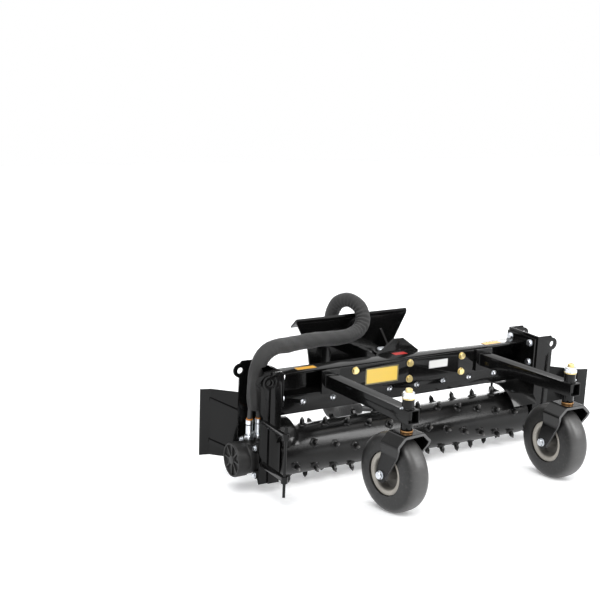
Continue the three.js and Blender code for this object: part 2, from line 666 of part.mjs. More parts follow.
for (const [name, turn] of [["left", 0], ["right", Math.PI]]) {
  const face = turn ? channel.front : channel.rear;
  const start = [-endPlate.startX, face + endPlate.startBack];
  const fold = [-endPlate.foldX, face + endPlate.foldBack];
  const tip = [-endPlate.tipX, face + endPlate.tipBack];
  const run = Math.hypot(fold[0] - start[0], fold[1] - start[1]);
  const across = [(fold[1] - start[1]) / run, (start[0] - fold[0]) / run];
  const off = ([x, y], distance) => [x + across[0] * distance, y + across[1] * distance];
  const { thick } = endPlateSheet;
  const sheet = [start, fold, tip, [tip[0], tip[1] + thick], off(fold, thick), off(start, thick)];
  let body = solidOf(flatAt(sheet, endPlateSheet.bottom, endPlateSheet.top));
  for (const height of [plateBar.upper, plateBar.lower]) {
    const near = [start[0], face + seat];
    const far = [start[0] - plateBar.thick, face + seat];
    const bar = [near, off(start, seat), off(fold, seat), off(fold, -plateBar.thick), far];
    const rise = new THREE.Matrix4();
    rise.makeShear(0, plateBar.rise / (fold[0] - start[0]), 0, 0, 0, 0);
    const flat = flatAt(bar, height, height + plateBar.height).translate(-start[0], 0, 0);
    body = body.add(solidOf(flat.applyMatrix4(rise).translate(start[0], 0, 0)));
  }
  add(machine, `end_plate_${name}`, "frameBlack", geometryOf(body).rotateZ(turn));

  const front = turn ? channel.rear : channel.front;
  const pinY = -front - hinge.reach;
  const bars = [hinge.upper, hinge.lower].map((z) => {
    const bar = rectangle(pinY, z - hinge.barSize / 2, -front - seat, z + hinge.barSize / 2);
    return alongX(bar, -hinge.x - hinge.barSize / 2, -hinge.x + hinge.barSize / 2);
  });
  const eyes = [hinge.upper, hinge.lower].map((z) => {
    const eye = rodZ(hinge.eyeRadius, z - hinge.eyeHeight / 2, z + hinge.eyeHeight / 2, round.turned);
    return eye.translate(-hinge.x, pinY, 0);
  });
  const pin = rodZ(hingePin.radius, hingePin.bottom, hingePin.top, round.bolt).translate(-hinge.x, pinY, 0);
  add(machine, `wing_hinge_${name}`, "frameBlack", geometryOf(joined(pin, ...bars, ...eyes)).rotateZ(turn));
}

// Hitch: plates on the beam's back carry the king pin, and the receiver swings about it
const backStart = beamRear + seat;
const backOutline = outline([
  [-hitchBack.bottomHalf, hitchBack.bottom],
  [hitchBack.bottomHalf, hitchBack.bottom],
  [hitchBack.bottomHalf, hitchBack.neck],
  [hitchBack.topHalf, hitchBack.top],
  [-hitchBack.topHalf, hitchBack.top],
  [-hitchBack.bottomHalf, hitchBack.neck],
]);
const yokeStart = backStart + hitchBack.thick / 2;
const hitchUpper = hitch.lower + hitch.plateThick + hitch.throat;
const yokes = [hitchUpper, hitch.lower].map((z) => {
  const shape = new THREE.Shape();
  shape.moveTo(-hitch.plateHalf, yokeStart);
  shape.lineTo(hitch.plateHalf, yokeStart);
  shape.lineTo(hitch.eyeRadius, hitch.pivotY);
  shape.absarc(0, hitch.pivotY, hitch.eyeRadius, 0, Math.PI, false);
  return alongZ(shape, z - hitch.plateThick / 2, z + hitch.plateThick / 2);
});
const pinReach = [hitch.lower - hitch.plateThick * 2, hitchUpper + hitch.plateThick * 2];
const pinHoleRadius = holeRadius(pivotPin.radius);
const pinHole = () => rodZ(pinHoleRadius, ...pinReach, round.turned).translate(0, hitch.pivotY, 0);
const yokeBody = joined(alongY(backOutline, backStart, backStart + hitchBack.thick), ...yokes);
add(machine, "hitch_yoke", "frameBlack", cut(yokeBody, pinHole()));

const yokeTop = hitchUpper + hitch.plateThick / 2;
const yokeBottom = hitch.lower - hitch.plateThick / 2;
const kingPin = turnedZ([
  [0, yokeBottom - pivotPin.headHeight],
  [pivotPin.radius, yokeBottom - pivotPin.headHeight],
  [pivotPin.radius, yokeTop + seat],
  [pivotPin.headRadius, yokeTop + seat],
  [pivotPin.headRadius, yokeTop + seat + pivotPin.headHeight],
  [0, yokeTop + seat + pivotPin.headHeight],
], round.turned);
add(machine, "king_pin", "zinc", kingPin.translate(0, hitch.pivotY, 0));

const tongueShape = new THREE.Shape();
tongueShape.moveTo(-tongue.half, tongue.rear - seat);
tongueShape.lineTo(-hitch.eyeRadius, hitch.pivotY);
tongueShape.absarc(0, hitch.pivotY, hitch.eyeRadius, Math.PI, 2 * Math.PI, false);
tongueShape.lineTo(tongue.half, tongue.rear - seat);
const tongueBottom = hitch.lower + hitch.plateThick / 2 + seat;
const tongueTop = hitchUpper - hitch.plateThick / 2 - seat;
const tongueBlock = solidOf(alongZ(tongueShape, tongueBottom, tongueTop));
add(machine, "hitch_tongue", "frameBlack", cut(tongueBlock, pinHole()));

const receiverOutline = outline([
  [-receiver.halfTop, receiverSheet.top],
  [-receiver.kneeHalf, receiverSheet.top - receiver.kneeDrop],
  [-receiver.halfBottom, receiverSheet.bottom],
  [receiver.halfBottom, receiverSheet.bottom],
  [receiver.kneeHalf, receiverSheet.top - receiver.kneeDrop],
  [receiver.halfTop, receiverSheet.top],
]);
const receiverRear = tongue.rear + receiverSheet.thick;

// The receiver's top edge folds back and down into a hook that a loader plate lifts under.
const hookShape = outline([
  [tongue.rear, receiverSheet.top + seat],
  [tongue.rear, receiverSheet.top + hook.rise],
  [tongue.rear + hook.thick, receiverSheet.top + hook.rise + hook.thick],
  [receiverRear + hook.depth, receiverSheet.top - hook.drop + hook.thick],
  [receiverRear + hook.depth, receiverSheet.top - hook.drop],
  [receiverRear + hook.bend, receiverSheet.top + seat],
]);
add(machine, "receiver_hook", "frameBlack", alongX(hookShape, -receiver.halfTop, receiver.halfTop));

const ribs = [-1, 1].map((side) => {
  const gusset = outline([
    [tongue.rear + seat, receiverSheet.top - rib.depth],
    [tongue.rear + seat, receiverSheet.bottom + rib.depth],
    [tongue.rear - rib.depth, receiverSheet.bottom + rib.depth * 2],
    [tongue.rear - rib.depth, receiverSheet.top - rib.depth * 2],
  ]);
  return alongX(gusset, side * rib.x - rib.thick / 2, side * rib.x + rib.thick / 2);
});
const receiverBack = alongY(receiverOutline, tongue.rear, receiverRear);
add(machine, "receiver_plate", "frameBlack", joined(receiverBack, ...ribs));

// Hoses: two leave the motor's fittings, run in one woven sleeve over the frame, and end in couplers
function level(x, y, z) {
  return new THREE.Vector3(x, y, z).applyEuler(machine.rotation);
}

function tubeAlong(points, radius, sides, steps) {
  const ring = new THREE.Shape();
  const corners = [];
  for (let i = 0; i < sides; i += 1) {
    const angle = 2 * Math.PI * i / sides;
    corners.push(new THREE.Vector2(radius * Math.cos(angle), radius * Math.sin(angle)));
  }
  ring.setFromPoints(corners);
  const path = new THREE.CatmullRomCurve3(points);
  return new THREE.ExtrudeGeometry(ring, { steps, extrudePath: path, bevelEnabled: false });
}

const sleeveFoot = { x: (portSpots[0] + portSpots[1]) / 2, z: fittingTop + hose.stub };
const sleeveRoute = [
  [sleeveFoot.x, 0, sleeveFoot.z],
  [-692, 0, 236],
  [-692, 1, 280],
  [-690, 3, 318],
  [-682, 6, 356],
  [-661, 12, 388],
  [-629, 24, 408],
  [-588, 42, 415],
  [-524, 75, 405],
  [-424, 128, 393],
  [-299, 180, 379],
  [-167, 235, 358],
  [-81, 274, 353],
  [-16, 306, 369],
  [13, 333, 400],
  [19, 365, 436],
  [8, 406, 459],
  [-8, 453, 459],
  [-21, 502, 429],
  [-21, 536, 372],
  [-14, 560, 300],
  [-4, 580, 220],
  [10, 600, 140],
  [32, 628, 64],
].map((point) => level(...point));
const floorZ = -floorDrop;
const floorLine = floorZ + sleeve.radius + hoseEnd.lift;
const floorRoute = [
  new THREE.Vector3(53, 650, -8),
  new THREE.Vector3(91, 694, floorLine + hoseEnd.landing),
  new THREE.Vector3(149, 728, floorLine),
  new THREE.Vector3(220, 740, floorLine),
  new THREE.Vector3(290, 740, floorLine),
];
const sleeveBody = tubeAlong([...sleeveRoute, ...floorRoute], sleeve.radius, sleeve.sides, sleeve.steps);
add(rake, "hose_sleeve", "hose", sleeveBody);

portSpots.forEach((x, i) => {
  const spread = i ? -hose.spread : hose.spread;
  const stub = [
    level(x, 0, fittingTop + seat),
    level(x, 0, fittingTop + hose.stub / 3),
    level(sleeveFoot.x + spread, 0, sleeveFoot.z - hose.stub / 3),
    level(sleeveFoot.x + spread, 0, sleeveFoot.z - seat),
  ];
  add(rake, `hose_stub_${i + 1}`, "hose", tubeAlong(stub, hose.radius, hose.sides, hose.steps));
});

const tailStart = floorRoute[floorRoute.length - 1];
for (const i of [0, 1]) {
  const way = i ? -1 : 1;
  const y = tailStart.y + way * hose.spread;
  const tailZ = floorZ + coupler.collar + seat;
  const from = new THREE.Vector3(tailStart.x + seat, y, floorLine);
  const reach = from.x + hoseEnd.tail;
  const outY = tailStart.y + way * hoseEnd.part;
  const tail = [
    from,
    new THREE.Vector3(from.x + hoseEnd.tail / 3, y, floorLine),
    new THREE.Vector3(reach - hoseEnd.tail / 3, outY, tailZ),
    new THREE.Vector3(reach, outY, tailZ),
  ];
  add(rake, `hose_tail_${i + 1}`, "hose", tubeAlong(tail, hose.radius, hose.sides, hose.steps));
  const body = turnedX([
    [0, seat],
    [coupler.radius, seat],
    [coupler.radius, coupler.length / 3],
    [coupler.collar, coupler.length / 3],
    [coupler.collar, coupler.length / 3 + coupler.collarLength],
    [coupler.nose, coupler.length / 3 + coupler.collarLength],
    [coupler.nose, coupler.length],
    [0, coupler.length],
  ], round.bolt);
  add(rake, `hose_coupler_${i + 1}`, "zinc", body.translate(reach, outY, tailZ));
}

// The origin moves to the middle of the rigid parts' footprint, on the floor.
const looseNames = ["hose_sleeve", "hose_stub", "hose_tail", "hose_coupler"];
const footprint = new THREE.Box3();
rake.updateMatrixWorld(true);
rake.traverse((node) => {
  if (!node.isMesh || looseNames.some((loose) => node.name.startsWith(loose))) return;
  footprint.expandByObject(node, true);
});
const middle = footprint.getCenter(new THREE.Vector3());
rake.position.set(-middle.x, -middle.y, -footprint.min.z);

export default rake;
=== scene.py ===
# %% [markdown]
# A power rake is a toothed roller in a steel frame, pushed in front of a small loader.
# Two caster wheels carry its front, bent plates close its ends, and a hydraulic motor turns the roller.
# This notebook loads the measured model of it as a fixed frame, and then makes every surface that shows:
# first the camera and the hoses' route, then the paint and metals, and then the parts,
# from the drum outwards.

# %% The frame
import json
import math

import bmesh
import bpy
import numpy as np
from mathutils import Matrix, Vector

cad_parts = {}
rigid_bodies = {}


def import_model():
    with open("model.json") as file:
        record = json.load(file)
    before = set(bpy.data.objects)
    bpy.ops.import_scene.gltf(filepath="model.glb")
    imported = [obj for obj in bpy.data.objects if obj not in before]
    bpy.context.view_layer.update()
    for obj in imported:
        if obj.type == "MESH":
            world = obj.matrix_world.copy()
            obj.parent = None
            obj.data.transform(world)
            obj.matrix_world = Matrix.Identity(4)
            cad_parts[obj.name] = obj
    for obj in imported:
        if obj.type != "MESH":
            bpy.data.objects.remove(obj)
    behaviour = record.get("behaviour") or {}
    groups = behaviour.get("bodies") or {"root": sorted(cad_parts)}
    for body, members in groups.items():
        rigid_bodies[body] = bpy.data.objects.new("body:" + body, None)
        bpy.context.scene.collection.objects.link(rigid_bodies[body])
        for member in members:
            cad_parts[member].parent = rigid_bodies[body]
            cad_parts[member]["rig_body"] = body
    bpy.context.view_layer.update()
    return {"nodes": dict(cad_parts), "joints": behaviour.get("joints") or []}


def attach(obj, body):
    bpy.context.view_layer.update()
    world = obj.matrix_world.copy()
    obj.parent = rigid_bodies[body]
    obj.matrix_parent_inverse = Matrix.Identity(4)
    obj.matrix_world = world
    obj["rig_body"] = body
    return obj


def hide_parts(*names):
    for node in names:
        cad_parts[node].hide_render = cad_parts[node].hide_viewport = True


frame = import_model()

# %% [markdown]
# The machine stands a few degrees nose-down, because tyres and tooth points share one floor.
# The hitch's pivot gives that tilt: its axis is the machine's own "up".
# A point is easiest to give along the drum, to the rear and up, from the drum's middle,
# so one function turns such numbers into the row's frame.

# %% The machine's own axes
JOINTS = {joint["name"]: joint for joint in frame["joints"]}
DRUM_MIDDLE = np.array(JOINTS["drum_spin"]["pos_m"])
UP = np.array(JOINTS["hitch_angle"]["axis"], float)
UP = UP / np.linalg.norm(UP)
ALONG = np.array([1.0, 0.0, 0.0])
REAR = np.cross(UP, ALONG)
MACHINE = np.stack([ALONG, REAR, UP])
LEVEL = np.eye(3)
MM = 0.001
SIDES = {"left": -1, "right": 1}


def place(points, axes=MACHINE, origin=DRUM_MIDDLE):
    """Points in millimetres along three axes become metres in the row's frame: origin + p @ axes."""
    return origin + (np.asarray(points, float) * MM) @ axes


print("nose-down tilt", round(math.degrees(math.atan2(REAR[2], REAR[1])), 2), "degrees")

# %% [markdown]
# The camera stands where the photographer stood. Its place, its two directions and its focal length come from
# fitting about forty points of the rake to the picture, and are given in the machine's own axes,
# so that the view stays true however the machine leans on its wheels.

# %% Camera
def put(name, data):
    """A new object in the scene."""
    thing = bpy.data.objects.new(name, data)
    bpy.context.scene.collection.objects.link(thing)
    return thing


EYE = (-2657.2, -3599.7, 1608.7)
LOOKS = (0.49839, 0.83497, -0.23329)
RIGHTWARD = (0.86270, -0.50426, 0.03825)
FOCAL_PIXELS = 1132.0
PICTURE_PIXELS = 600.0
SENSOR = 36.0

camera_data = bpy.data.cameras.new("photo_camera")
camera_data.sensor_width = SENSOR
camera_data.lens = FOCAL_PIXELS / PICTURE_PIXELS * SENSOR
camera = put("photo_camera", camera_data)
looks = np.array(LOOKS) @ MACHINE
rightward = np.array(RIGHTWARD) @ MACHINE
upward = np.cross(rightward, looks)
rightward = np.cross(looks, upward)
turn = Matrix(np.stack([rightward, upward, -looks], axis=1).tolist())
camera.matrix_world = Matrix.Translation(place(EYE).tolist()) @ turn.normalized().to_4x4()
camera_data.clip_end = 60.0
bpy.context.scene.camera = camera
print("lens", round(camera_data.lens, 1), "mm")

# %% [markdown]
# A mesh joins the scene in one place: its faces are shaded smooth up to a sharp angle,
# and the piece rides a body of the frame, so that it moves when that body does.

# %% Meshes and pieces
SHARP = math.radians(32)


def finish_piece(name, mesh, body, nodes=(), sharp=SHARP):
    """Names the mesh, gives it smooth faces with sharp creases past an angle, and lets it ride."""
    mesh.polygons.foreach_set("use_smooth", np.ones(len(mesh.polygons), bool))
    mesh.set_sharp_from_angle(angle=sharp)
    piece = put(name, mesh)
    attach(piece, body)
    if nodes:
        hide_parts(*nodes)
    return piece


def mesh_of(name, verts, faces):
    """A mesh from arrays of points and of faces, with doubled points merged and normals turned outwards."""
    mesh = bpy.data.meshes.new(name)
    mesh.from_pydata(np.asarray(verts).tolist(), [], faces)
    work = bmesh.new()
    work.from_mesh(mesh)
    bmesh.ops.remove_doubles(work, verts=work.verts, dist=2e-6)
    bmesh.ops.dissolve_degenerate(work, edges=work.edges, dist=1e-7)
    bmesh.ops.recalc_face_normals(work, faces=work.faces)
    work.to_mesh(mesh)
    work.free()
    return mesh


def points_of(mesh):
    """A mesh's points as an array of shape (points, 3)."""
    points = np.empty(len(mesh.vertices) * 3)
    mesh.vertices.foreach_get("co", points)
    return points.reshape(-1, 3)


def corners_of(mesh):
    """The number of the point at each corner of each face."""
    index = np.empty(len(mesh.loops), np.int32)
    mesh.loops.foreach_get("vertex_index", index)
    return index


print("piece helpers ready")

# %% [markdown]
# Every new piece is a sheet of points worked out with numpy: rows along it and columns round it.
# One helper joins neighbouring points into faces, others sweep a section or turn a profile.

# %% Sheets of points
def sheet(grid, round_rows=False, round_columns=False):
    """Points and four-sided faces of a grid of shape (rows, columns, 3); a round way closes on itself."""
    rows, columns = grid.shape[:2]
    index = np.arange(rows * columns).reshape(rows, columns)
    down = np.concatenate([index, index[:1]]) if round_rows else index
    across = np.concatenate([down, down[:, :1]], axis=1) if round_columns else down
    faces = np.stack([across[:-1, :-1], across[:-1, 1:], across[1:, 1:], across[1:, :-1]], axis=-1)
    return grid.reshape(-1, 3), faces.reshape(-1, 4).tolist()


def swept(grid):
    """Copies of a closed section, one for each row of the grid, joined, with both ends closed."""
    points, faces = sheet(np.asarray(grid), round_columns=True)
    count, sides = len(points), grid.shape[1]
    return points, faces + [list(range(sides))[::-1], list(range(count - sides, count))]


def gather(parts):
    """Several (points, faces) pairs as one."""
    verts, faces, start = [], [], 0
    for points, quads in parts:
        verts.append(points)
        faces.extend([[i + start for i in quad] for quad in quads])
        start += len(points)
    return np.concatenate(verts), faces


def circle(sides):
    """The angle of each side of a ring."""
    return np.linspace(0, 2 * math.pi, sides, endpoint=False)


def six_sided(angle):
    """cos(a mod 60 - 30 degrees): dividing half the flats by it gives a hexagon's radius."""
    return np.cos(np.mod(angle, math.pi / 3) - math.pi / 6)


def soften(profile, radius, steps=3):
    """Rounds a profile's inner corners: each becomes a short curve between points along its edges."""
    points = np.asarray(profile, float)
    result = [points[:1]]
    share = np.linspace(0, 1, steps + 1)[:, None]
    for before, corner, after in zip(points[:-2], points[1:-1], points[2:]):
        back, on = before - corner, after - corner
        long_back, long_on = np.linalg.norm(back), np.linalg.norm(on)
        cut = min(radius, 0.45 * long_back, 0.45 * long_on)
        first, last = corner + back / long_back * cut, corner + on / long_on * cut
        result.append((1 - share) ** 2 * first + 2 * share * (1 - share) * corner + share**2 * last)
    result.append(points[-1:])
    return np.concatenate(result)


def rings(radii, heights, centre=(0, 0, 0), axis=2, axes=MACHINE, origin=DRUM_MIDDLE, ring=False):
    """Rings about an axis, in mm: centre + h*axis + r*(cos a, sin a) across it.
    Radii has a row for each height, and may change round the axis."""
    radii = np.asarray(radii, float)
    angle = circle(radii.shape[1])
    across, over = [(1, 2), (2, 0), (0, 1)][axis]
    grid = np.zeros((*radii.shape, 3))
    grid[:, :, axis] = np.asarray(heights, float)[:, None]
    grid[:, :, across] = radii * np.cos(angle)
    grid[:, :, over] = radii * np.sin(angle)
    grid = place(grid + np.asarray(centre, float), axes, origin)
    return sheet(grid, round_rows=ring, round_columns=True)


def turned(profile, centre=(0, 0, 0), axis=2, sides=64, **where):
    """A profile of [radius, height] in mm turned about an axis."""
    profile = np.asarray(profile, float)
    return rings(np.repeat(profile[:, :1], sides, axis=1), profile[:, 1], centre, axis, **where)


print("sheet helpers ready")

# %% [markdown]
# Two hydraulic hoses leave the motor, run together in a woven sleeve over the frame and the hitch,
# and end in couplers on the floor. A hose keeps its length and never bends tighter than a few diameters,
# so its line is one smooth curve through given points, the same that the frame's solids follow.
# The points are in millimetres: the first list in the machine's axes, the second level with the floor.

# %% Hose route
HOSE_RADIUS = 10.0
SLEEVE_RADIUS = 33.0
HOSE_LANE = 14.0
STUB = 60.0
TAIL = 120.0
FLOOR_DROP = DRUM_MIDDLE[2] / MM
PORTS = (-672.0, -712.0)
FITTING_TOP = 130.3
GAP = 0.3
SLEEVE_X = sum(PORTS) / 2
SLEEVE_FOOT = FITTING_TOP + STUB
MACHINE_ROUTE = [
    (SLEEVE_X, 0, SLEEVE_FOOT), (-692, 0, 236), (-692, 1, 280), (-690, 3, 318), (-682, 6, 356),
    (-661, 12, 388), (-629, 24, 408), (-588, 42, 415), (-524, 75, 405), (-424, 128, 393),
    (-299, 180, 379), (-167, 235, 358), (-81, 274, 353), (-16, 306, 369), (13, 333, 400),
    (19, 365, 436), (8, 406, 459), (-8, 453, 459), (-21, 502, 429), (-21, 536, 372),
    (-14, 560, 300), (-4, 580, 220), (10, 600, 140), (32, 628, 64),
]
# How far the sleeve lies above the floor, and how much higher it still is where it lands.
FLOOR_LIFT = 2.0
LANDING = 24.0
FLOOR_LINE = -FLOOR_DROP + SLEEVE_RADIUS + FLOOR_LIFT
FLOOR_ROUTE = [(53, 650, -8), (91, 694, FLOOR_LINE + LANDING), (149, 728, FLOOR_LINE),
               (220, 740, FLOOR_LINE), (290, 740, FLOOR_LINE)]
COUPLER_RADIUS = 23.0
COUPLER_LANE = 34.0
COUPLER_Z = -FLOOR_DROP + COUPLER_RADIUS + GAP
END_X, END_Y = FLOOR_ROUTE[-1][:2]
WAY_OUT = {1: 1, 2: -1}
# How far a point is drawn to its neighbours, and how close the points of each line stand, in metres.
RELAX = 0.05
HOSE_STEP, SLEEVE_STEP = 0.004, 0.0022
print("route goes through", len(MACHINE_ROUTE) + len(FLOOR_ROUTE), "points")

# %% [markdown]
# A curve first passes through all the points. A running mean then takes out what each point left in it.
# Two directions are carried along the result, so that a tube round it never twists.

# %% Smooth lines
def smooth_line(points, step=0.006):
    """A centripetal Catmull-Rom curve through points, sampled evenly.
    Between two points it blends three straight runs, timed by the square root of each distance."""
    p = np.asarray(points, float)
    p = np.concatenate([[2 * p[0] - p[1]], p, [2 * p[-1] - p[-2]]])
    runs = []
    for a, b, c, d in zip(p[:-3], p[1:-2], p[2:-1], p[3:]):
        t0 = 0.0
        t1 = t0 + math.sqrt(np.linalg.norm(b - a))
        t2 = t1 + math.sqrt(np.linalg.norm(c - b))
        t3 = t2 + math.sqrt(np.linalg.norm(d - c))
        t = np.linspace(t1, t2, 24, endpoint=False)[:, None]
        ab = (t1 - t) / (t1 - t0) * a + (t - t0) / (t1 - t0) * b
        bc = (t2 - t) / (t2 - t1) * b + (t - t1) / (t2 - t1) * c
        cd = (t3 - t) / (t3 - t2) * c + (t - t2) / (t3 - t2) * d
        abc = (t2 - t) / (t2 - t0) * ab + (t - t0) / (t2 - t0) * bc
        bcd = (t3 - t) / (t3 - t1) * bc + (t - t1) / (t3 - t1) * cd
        runs.append((t2 - t) / (t2 - t1) * abc + (t - t1) / (t2 - t1) * bcd)
    line = np.concatenate(runs + [p[-2:-1]])
    return even_line(line, step)


def along_line(line):
    """How far along the line each of its points is."""
    return np.concatenate([[0], np.cumsum(np.linalg.norm(np.diff(line, axis=0), axis=1))])


def unit(rows):
    """Each row made one long."""
    return rows / np.linalg.norm(rows, axis=1)[:, None]


def turning(line):
    """How the line's direction changes at each point, per metre."""
    way = np.gradient(line, axis=0)
    step = np.linalg.norm(way, axis=1)[:, None]
    return np.gradient(way / step, axis=0) / step


def even_line(line, step):
    """The same line with its points the same distance apart."""
    far = along_line(line)
    at = np.linspace(0, far[-1], max(3, int(far[-1] / step) + 1))
    return np.stack([np.interp(at, far, line[:, k]) for k in range(3)], axis=1)


def relaxed(line, reach):
    """Each point becomes the weighted mean of its neighbours within a reach, and both ends stay in place."""
    step = along_line(line)[1]
    half = int(reach / step)
    weights = np.hanning(2 * half + 3)[1:-1]
    before = 2 * line[0] - line[half:0:-1]
    after = 2 * line[-1] - line[-2:-half - 2:-1]
    padded = np.concatenate([before, line, after])
    mean = [np.convolve(padded[:, k], weights / weights.sum(), "valid") for k in range(3)]
    return even_line(np.stack(mean, axis=1), step)


def frames_on(line, first=(1.0, 0.0, 0.0)):
    """Two directions square to the line at each point, carried along it without twist."""
    way = unit(np.gradient(line, axis=0))
    side = np.zeros_like(line)
    now = np.asarray(first, float)
    for i, w in enumerate(way):
        now = now - (now @ w) * w
        now = now / np.linalg.norm(now)
        side[i] = now
    return side, np.cross(way, side)


def tube(line, radius, sides, first=(1.0, 0.0, 0.0)):
    """A ring of points round each point of a line: c + r * (cos a * side + sin a * over).
    The radius is one number, one for each point, or one for each point and side."""
    side, over = frames_on(line, first)
    angle = circle(sides)
    radius = np.asarray(radius, float)
    radius = np.broadcast_to(radius if radius.ndim == 2 else radius.reshape(-1, 1), (len(line), sides))
    ring = side[:, None, :] * np.cos(angle)[:, None] + over[:, None, :] * np.sin(angle)[:, None]
    return swept(line[:, None, :] + ring * radius[:, :, None])


sleeve_points = np.concatenate([place(MACHINE_ROUTE), place(FLOOR_ROUTE, LEVEL)])
sleeve_line = relaxed(smooth_line(sleeve_points), RELAX)
print("sleeve", round(float(along_line(sleeve_line)[-1]), 3), "m long")

# %% [markdown]
# A finish is a small network of shader nodes. Written node by node it is hard to read, so one class wraps
# an output socket: adding or multiplying two of them adds the Math node that does it.

# %% Shader maths
class Wire:
    """One output of a shader node; arithmetic on wires adds Math nodes."""

    def __init__(self, paint, socket):
        self.paint = paint
        self.socket = socket

    def maths(self, operation, *values):
        inputs = dict(enumerate(values))
        return self.paint.node("ShaderNodeMath", {"operation": operation}, inputs)

    def __add__(self, other):
        return self.maths("ADD", self, other)

    def __rsub__(self, other):
        return self.maths("SUBTRACT", other, self)

    def __mul__(self, other):
        return self.maths("MULTIPLY", self, other)

    __radd__ = __add__
    __rmul__ = __mul__

    def sine(self):
        return self.maths("SINE", self)

    def between(self, start, end):
        """0 at start, 1 at end, with a smooth step between them and level outside."""
        settings = {"interpolation_type": "SMOOTHSTEP"}
        inputs = {"Value": self, "From Min": start, "From Max": end}
        return self.paint.node("ShaderNodeMapRange", settings, inputs)


print("shader maths ready")

# %% [markdown]
# Everything that isn't a sum or a product comes from one method, which takes the node's type,
# its settings and the values or links of its inputs. Short methods on top of it name what finishes need.

# %% Finishes
class Paint:
    """A material whose nodes are added by one method."""

    SOCKETS = {"specular": "Specular IOR Level", "coat": "Coat Weight", "sheen": "Sheen Weight"}

    def __init__(self, name, **constants):
        self.material = bpy.data.materials.new(name)
        self.material.use_nodes = True
        self.tree = self.material.node_tree
        self.shader = self.tree.nodes["Principled BSDF"]
        for key, value in constants.items():
            self.shader.inputs[self.socket(key)].default_value = value

    def socket(self, key):
        return self.SOCKETS.get(key, key.replace("_", " ").title())

    def node(self, kind, settings=None, inputs=None, out=0):
        made = self.tree.nodes.new(kind)
        for key, value in (settings or {}).items():
            setattr(made, key, value)
        for key, value in (inputs or {}).items():
            if isinstance(value, Wire):
                self.tree.links.new(value.socket, made.inputs[key])
            else:
                made.inputs[key].default_value = value
        return Wire(self, made.outputs[out])

    def place(self):
        return self.node("ShaderNodeTexCoord", out="Object")

    def uv(self):
        return self.node("ShaderNodeTexCoord", out="UV")

    def part(self, wire, which):
        return self.node("ShaderNodeSeparateXYZ", None, {0: wire}, out=which)

    def stretched(self, scale):
        return self.node("ShaderNodeMapping", None, {"Vector": self.place(), "Scale": scale})

    def noise(self, scale, detail, roughness=0.5, wire=None):
        inputs = {"Vector": wire or self.place(), "Scale": scale, "Detail": detail, "Roughness": roughness}
        return self.node("ShaderNodeTexNoise", None, inputs, out=0)

    def mix(self, factor, first, second):
        """A colour between two, by a factor from 0 to 1."""
        inputs = {0: factor, 6: first, 7: second}
        return self.node("ShaderNodeMix", {"data_type": "RGBA"}, inputs, out=2)

    def from_axis(self, point, way):
        """How far the surface lies from a line: the length of (place - point) x way."""
        vector = "ShaderNodeVectorMath"
        offset = self.node(vector, {"operation": "SUBTRACT"}, {0: self.place(), 1: tuple(point)})
        crossed = self.node(vector, {"operation": "CROSS_PRODUCT"}, {0: offset, 1: tuple(way)})
        return self.node(vector, {"operation": "LENGTH"}, {0: crossed}, out="Value")

    def bump(self, height, distance, strength):
        inputs = {"Height": height, "Distance": distance, "Strength": strength}
        return self.node("ShaderNodeBump", None, inputs)

    def finish(self, **sockets):
        for key, value in sockets.items():
            self.tree.links.new(value.socket, self.shader.inputs[self.socket(key)])
        return self.material


def grey(value, warm=0.0):
    return (value * (1 + warm), value, value * (1 - warm), 1.0)


print("shader helpers ready")

# %% [markdown]
# The frame is welded steel under a gloss black powder coat. Powder flows out almost smooth,
# with a faint orange peel, and a new machine shows only thin dust, mostly where a face looks up.

# %% Black powder coat
def powder_coat(name, depth=0.003, rough=0.12, peel=0.00004):
    """Near black under a thin coat: dust where the normal's z is high, and a fine peel in the normal."""
    paint = Paint(name, specular=0.17, coat=0.15, coat_roughness=0.04)
    cloud = paint.noise(5.0, 4.0)
    fine = paint.noise(70.0, 3.0)
    facing = paint.part(paint.node("ShaderNodeNewGeometry", out="Normal"), "Z")
    dust = facing.between(0.3, 1.0) * cloud.between(0.35, 0.75) * (0.35 + fine * 0.5)
    color = paint.mix(dust * 0.25, grey(depth), grey(0.04, 0.04))
    roughness = rough + cloud * 0.05 + dust * 0.08
    peel_height = paint.noise(420.0, 2.0)
    return paint.finish(base_color=color, roughness=roughness, normal=paint.bump(peel_height, peel, 0.6))


frame_black = powder_coat("frame_black_powder_coat")
print("powder coat made")

# %% [markdown]
# The drum is black too, but earth polishes it. Its skin has fine scratches that run round it,
# and its tooth points are worn to bare metal. How far a point lies from the drum's axis says which it is.

# %% Drum steel
TOOTH_TIP = 129.0 * MM
TOOTH_SHOULDER = 115.0 * MM


def drum_steel():
    paint = Paint("worn_drum_black", specular=0.25)
    reach = paint.from_axis(DRUM_MIDDLE, ALONG)
    worn = reach.between(TOOTH_SHOULDER, TOOTH_TIP)
    cloud = paint.noise(9.0, 5.0, 0.6)
    scratch = paint.noise(60.0, 4.0, 0.6, paint.stretched((14.0, 1.0, 1.0)))
    skin = paint.mix(cloud.between(0.3, 0.75), grey(0.003), grey(0.008, 0.03))
    color = paint.mix(worn * 0.4 + scratch.between(0.66, 0.8) * 0.03, skin, grey(0.3, 0.02))
    roughness = 0.17 + cloud * 0.1
    height = scratch * 0.5 + paint.noise(300.0, 2.0) * 0.5
    return paint.finish(base_color=color, roughness=roughness, metallic=worn * 0.6,
                        normal=paint.bump(height, 0.0002, 0.7))


worn_black = drum_steel()
print("drum steel made")

# %% [markdown]
# Plated fasteners are metal all the way to the eye. Bright zinc is a cool silver with a fine haze,
# and yellow zinc has the shifting straw, gold and faint green of its chromate film.

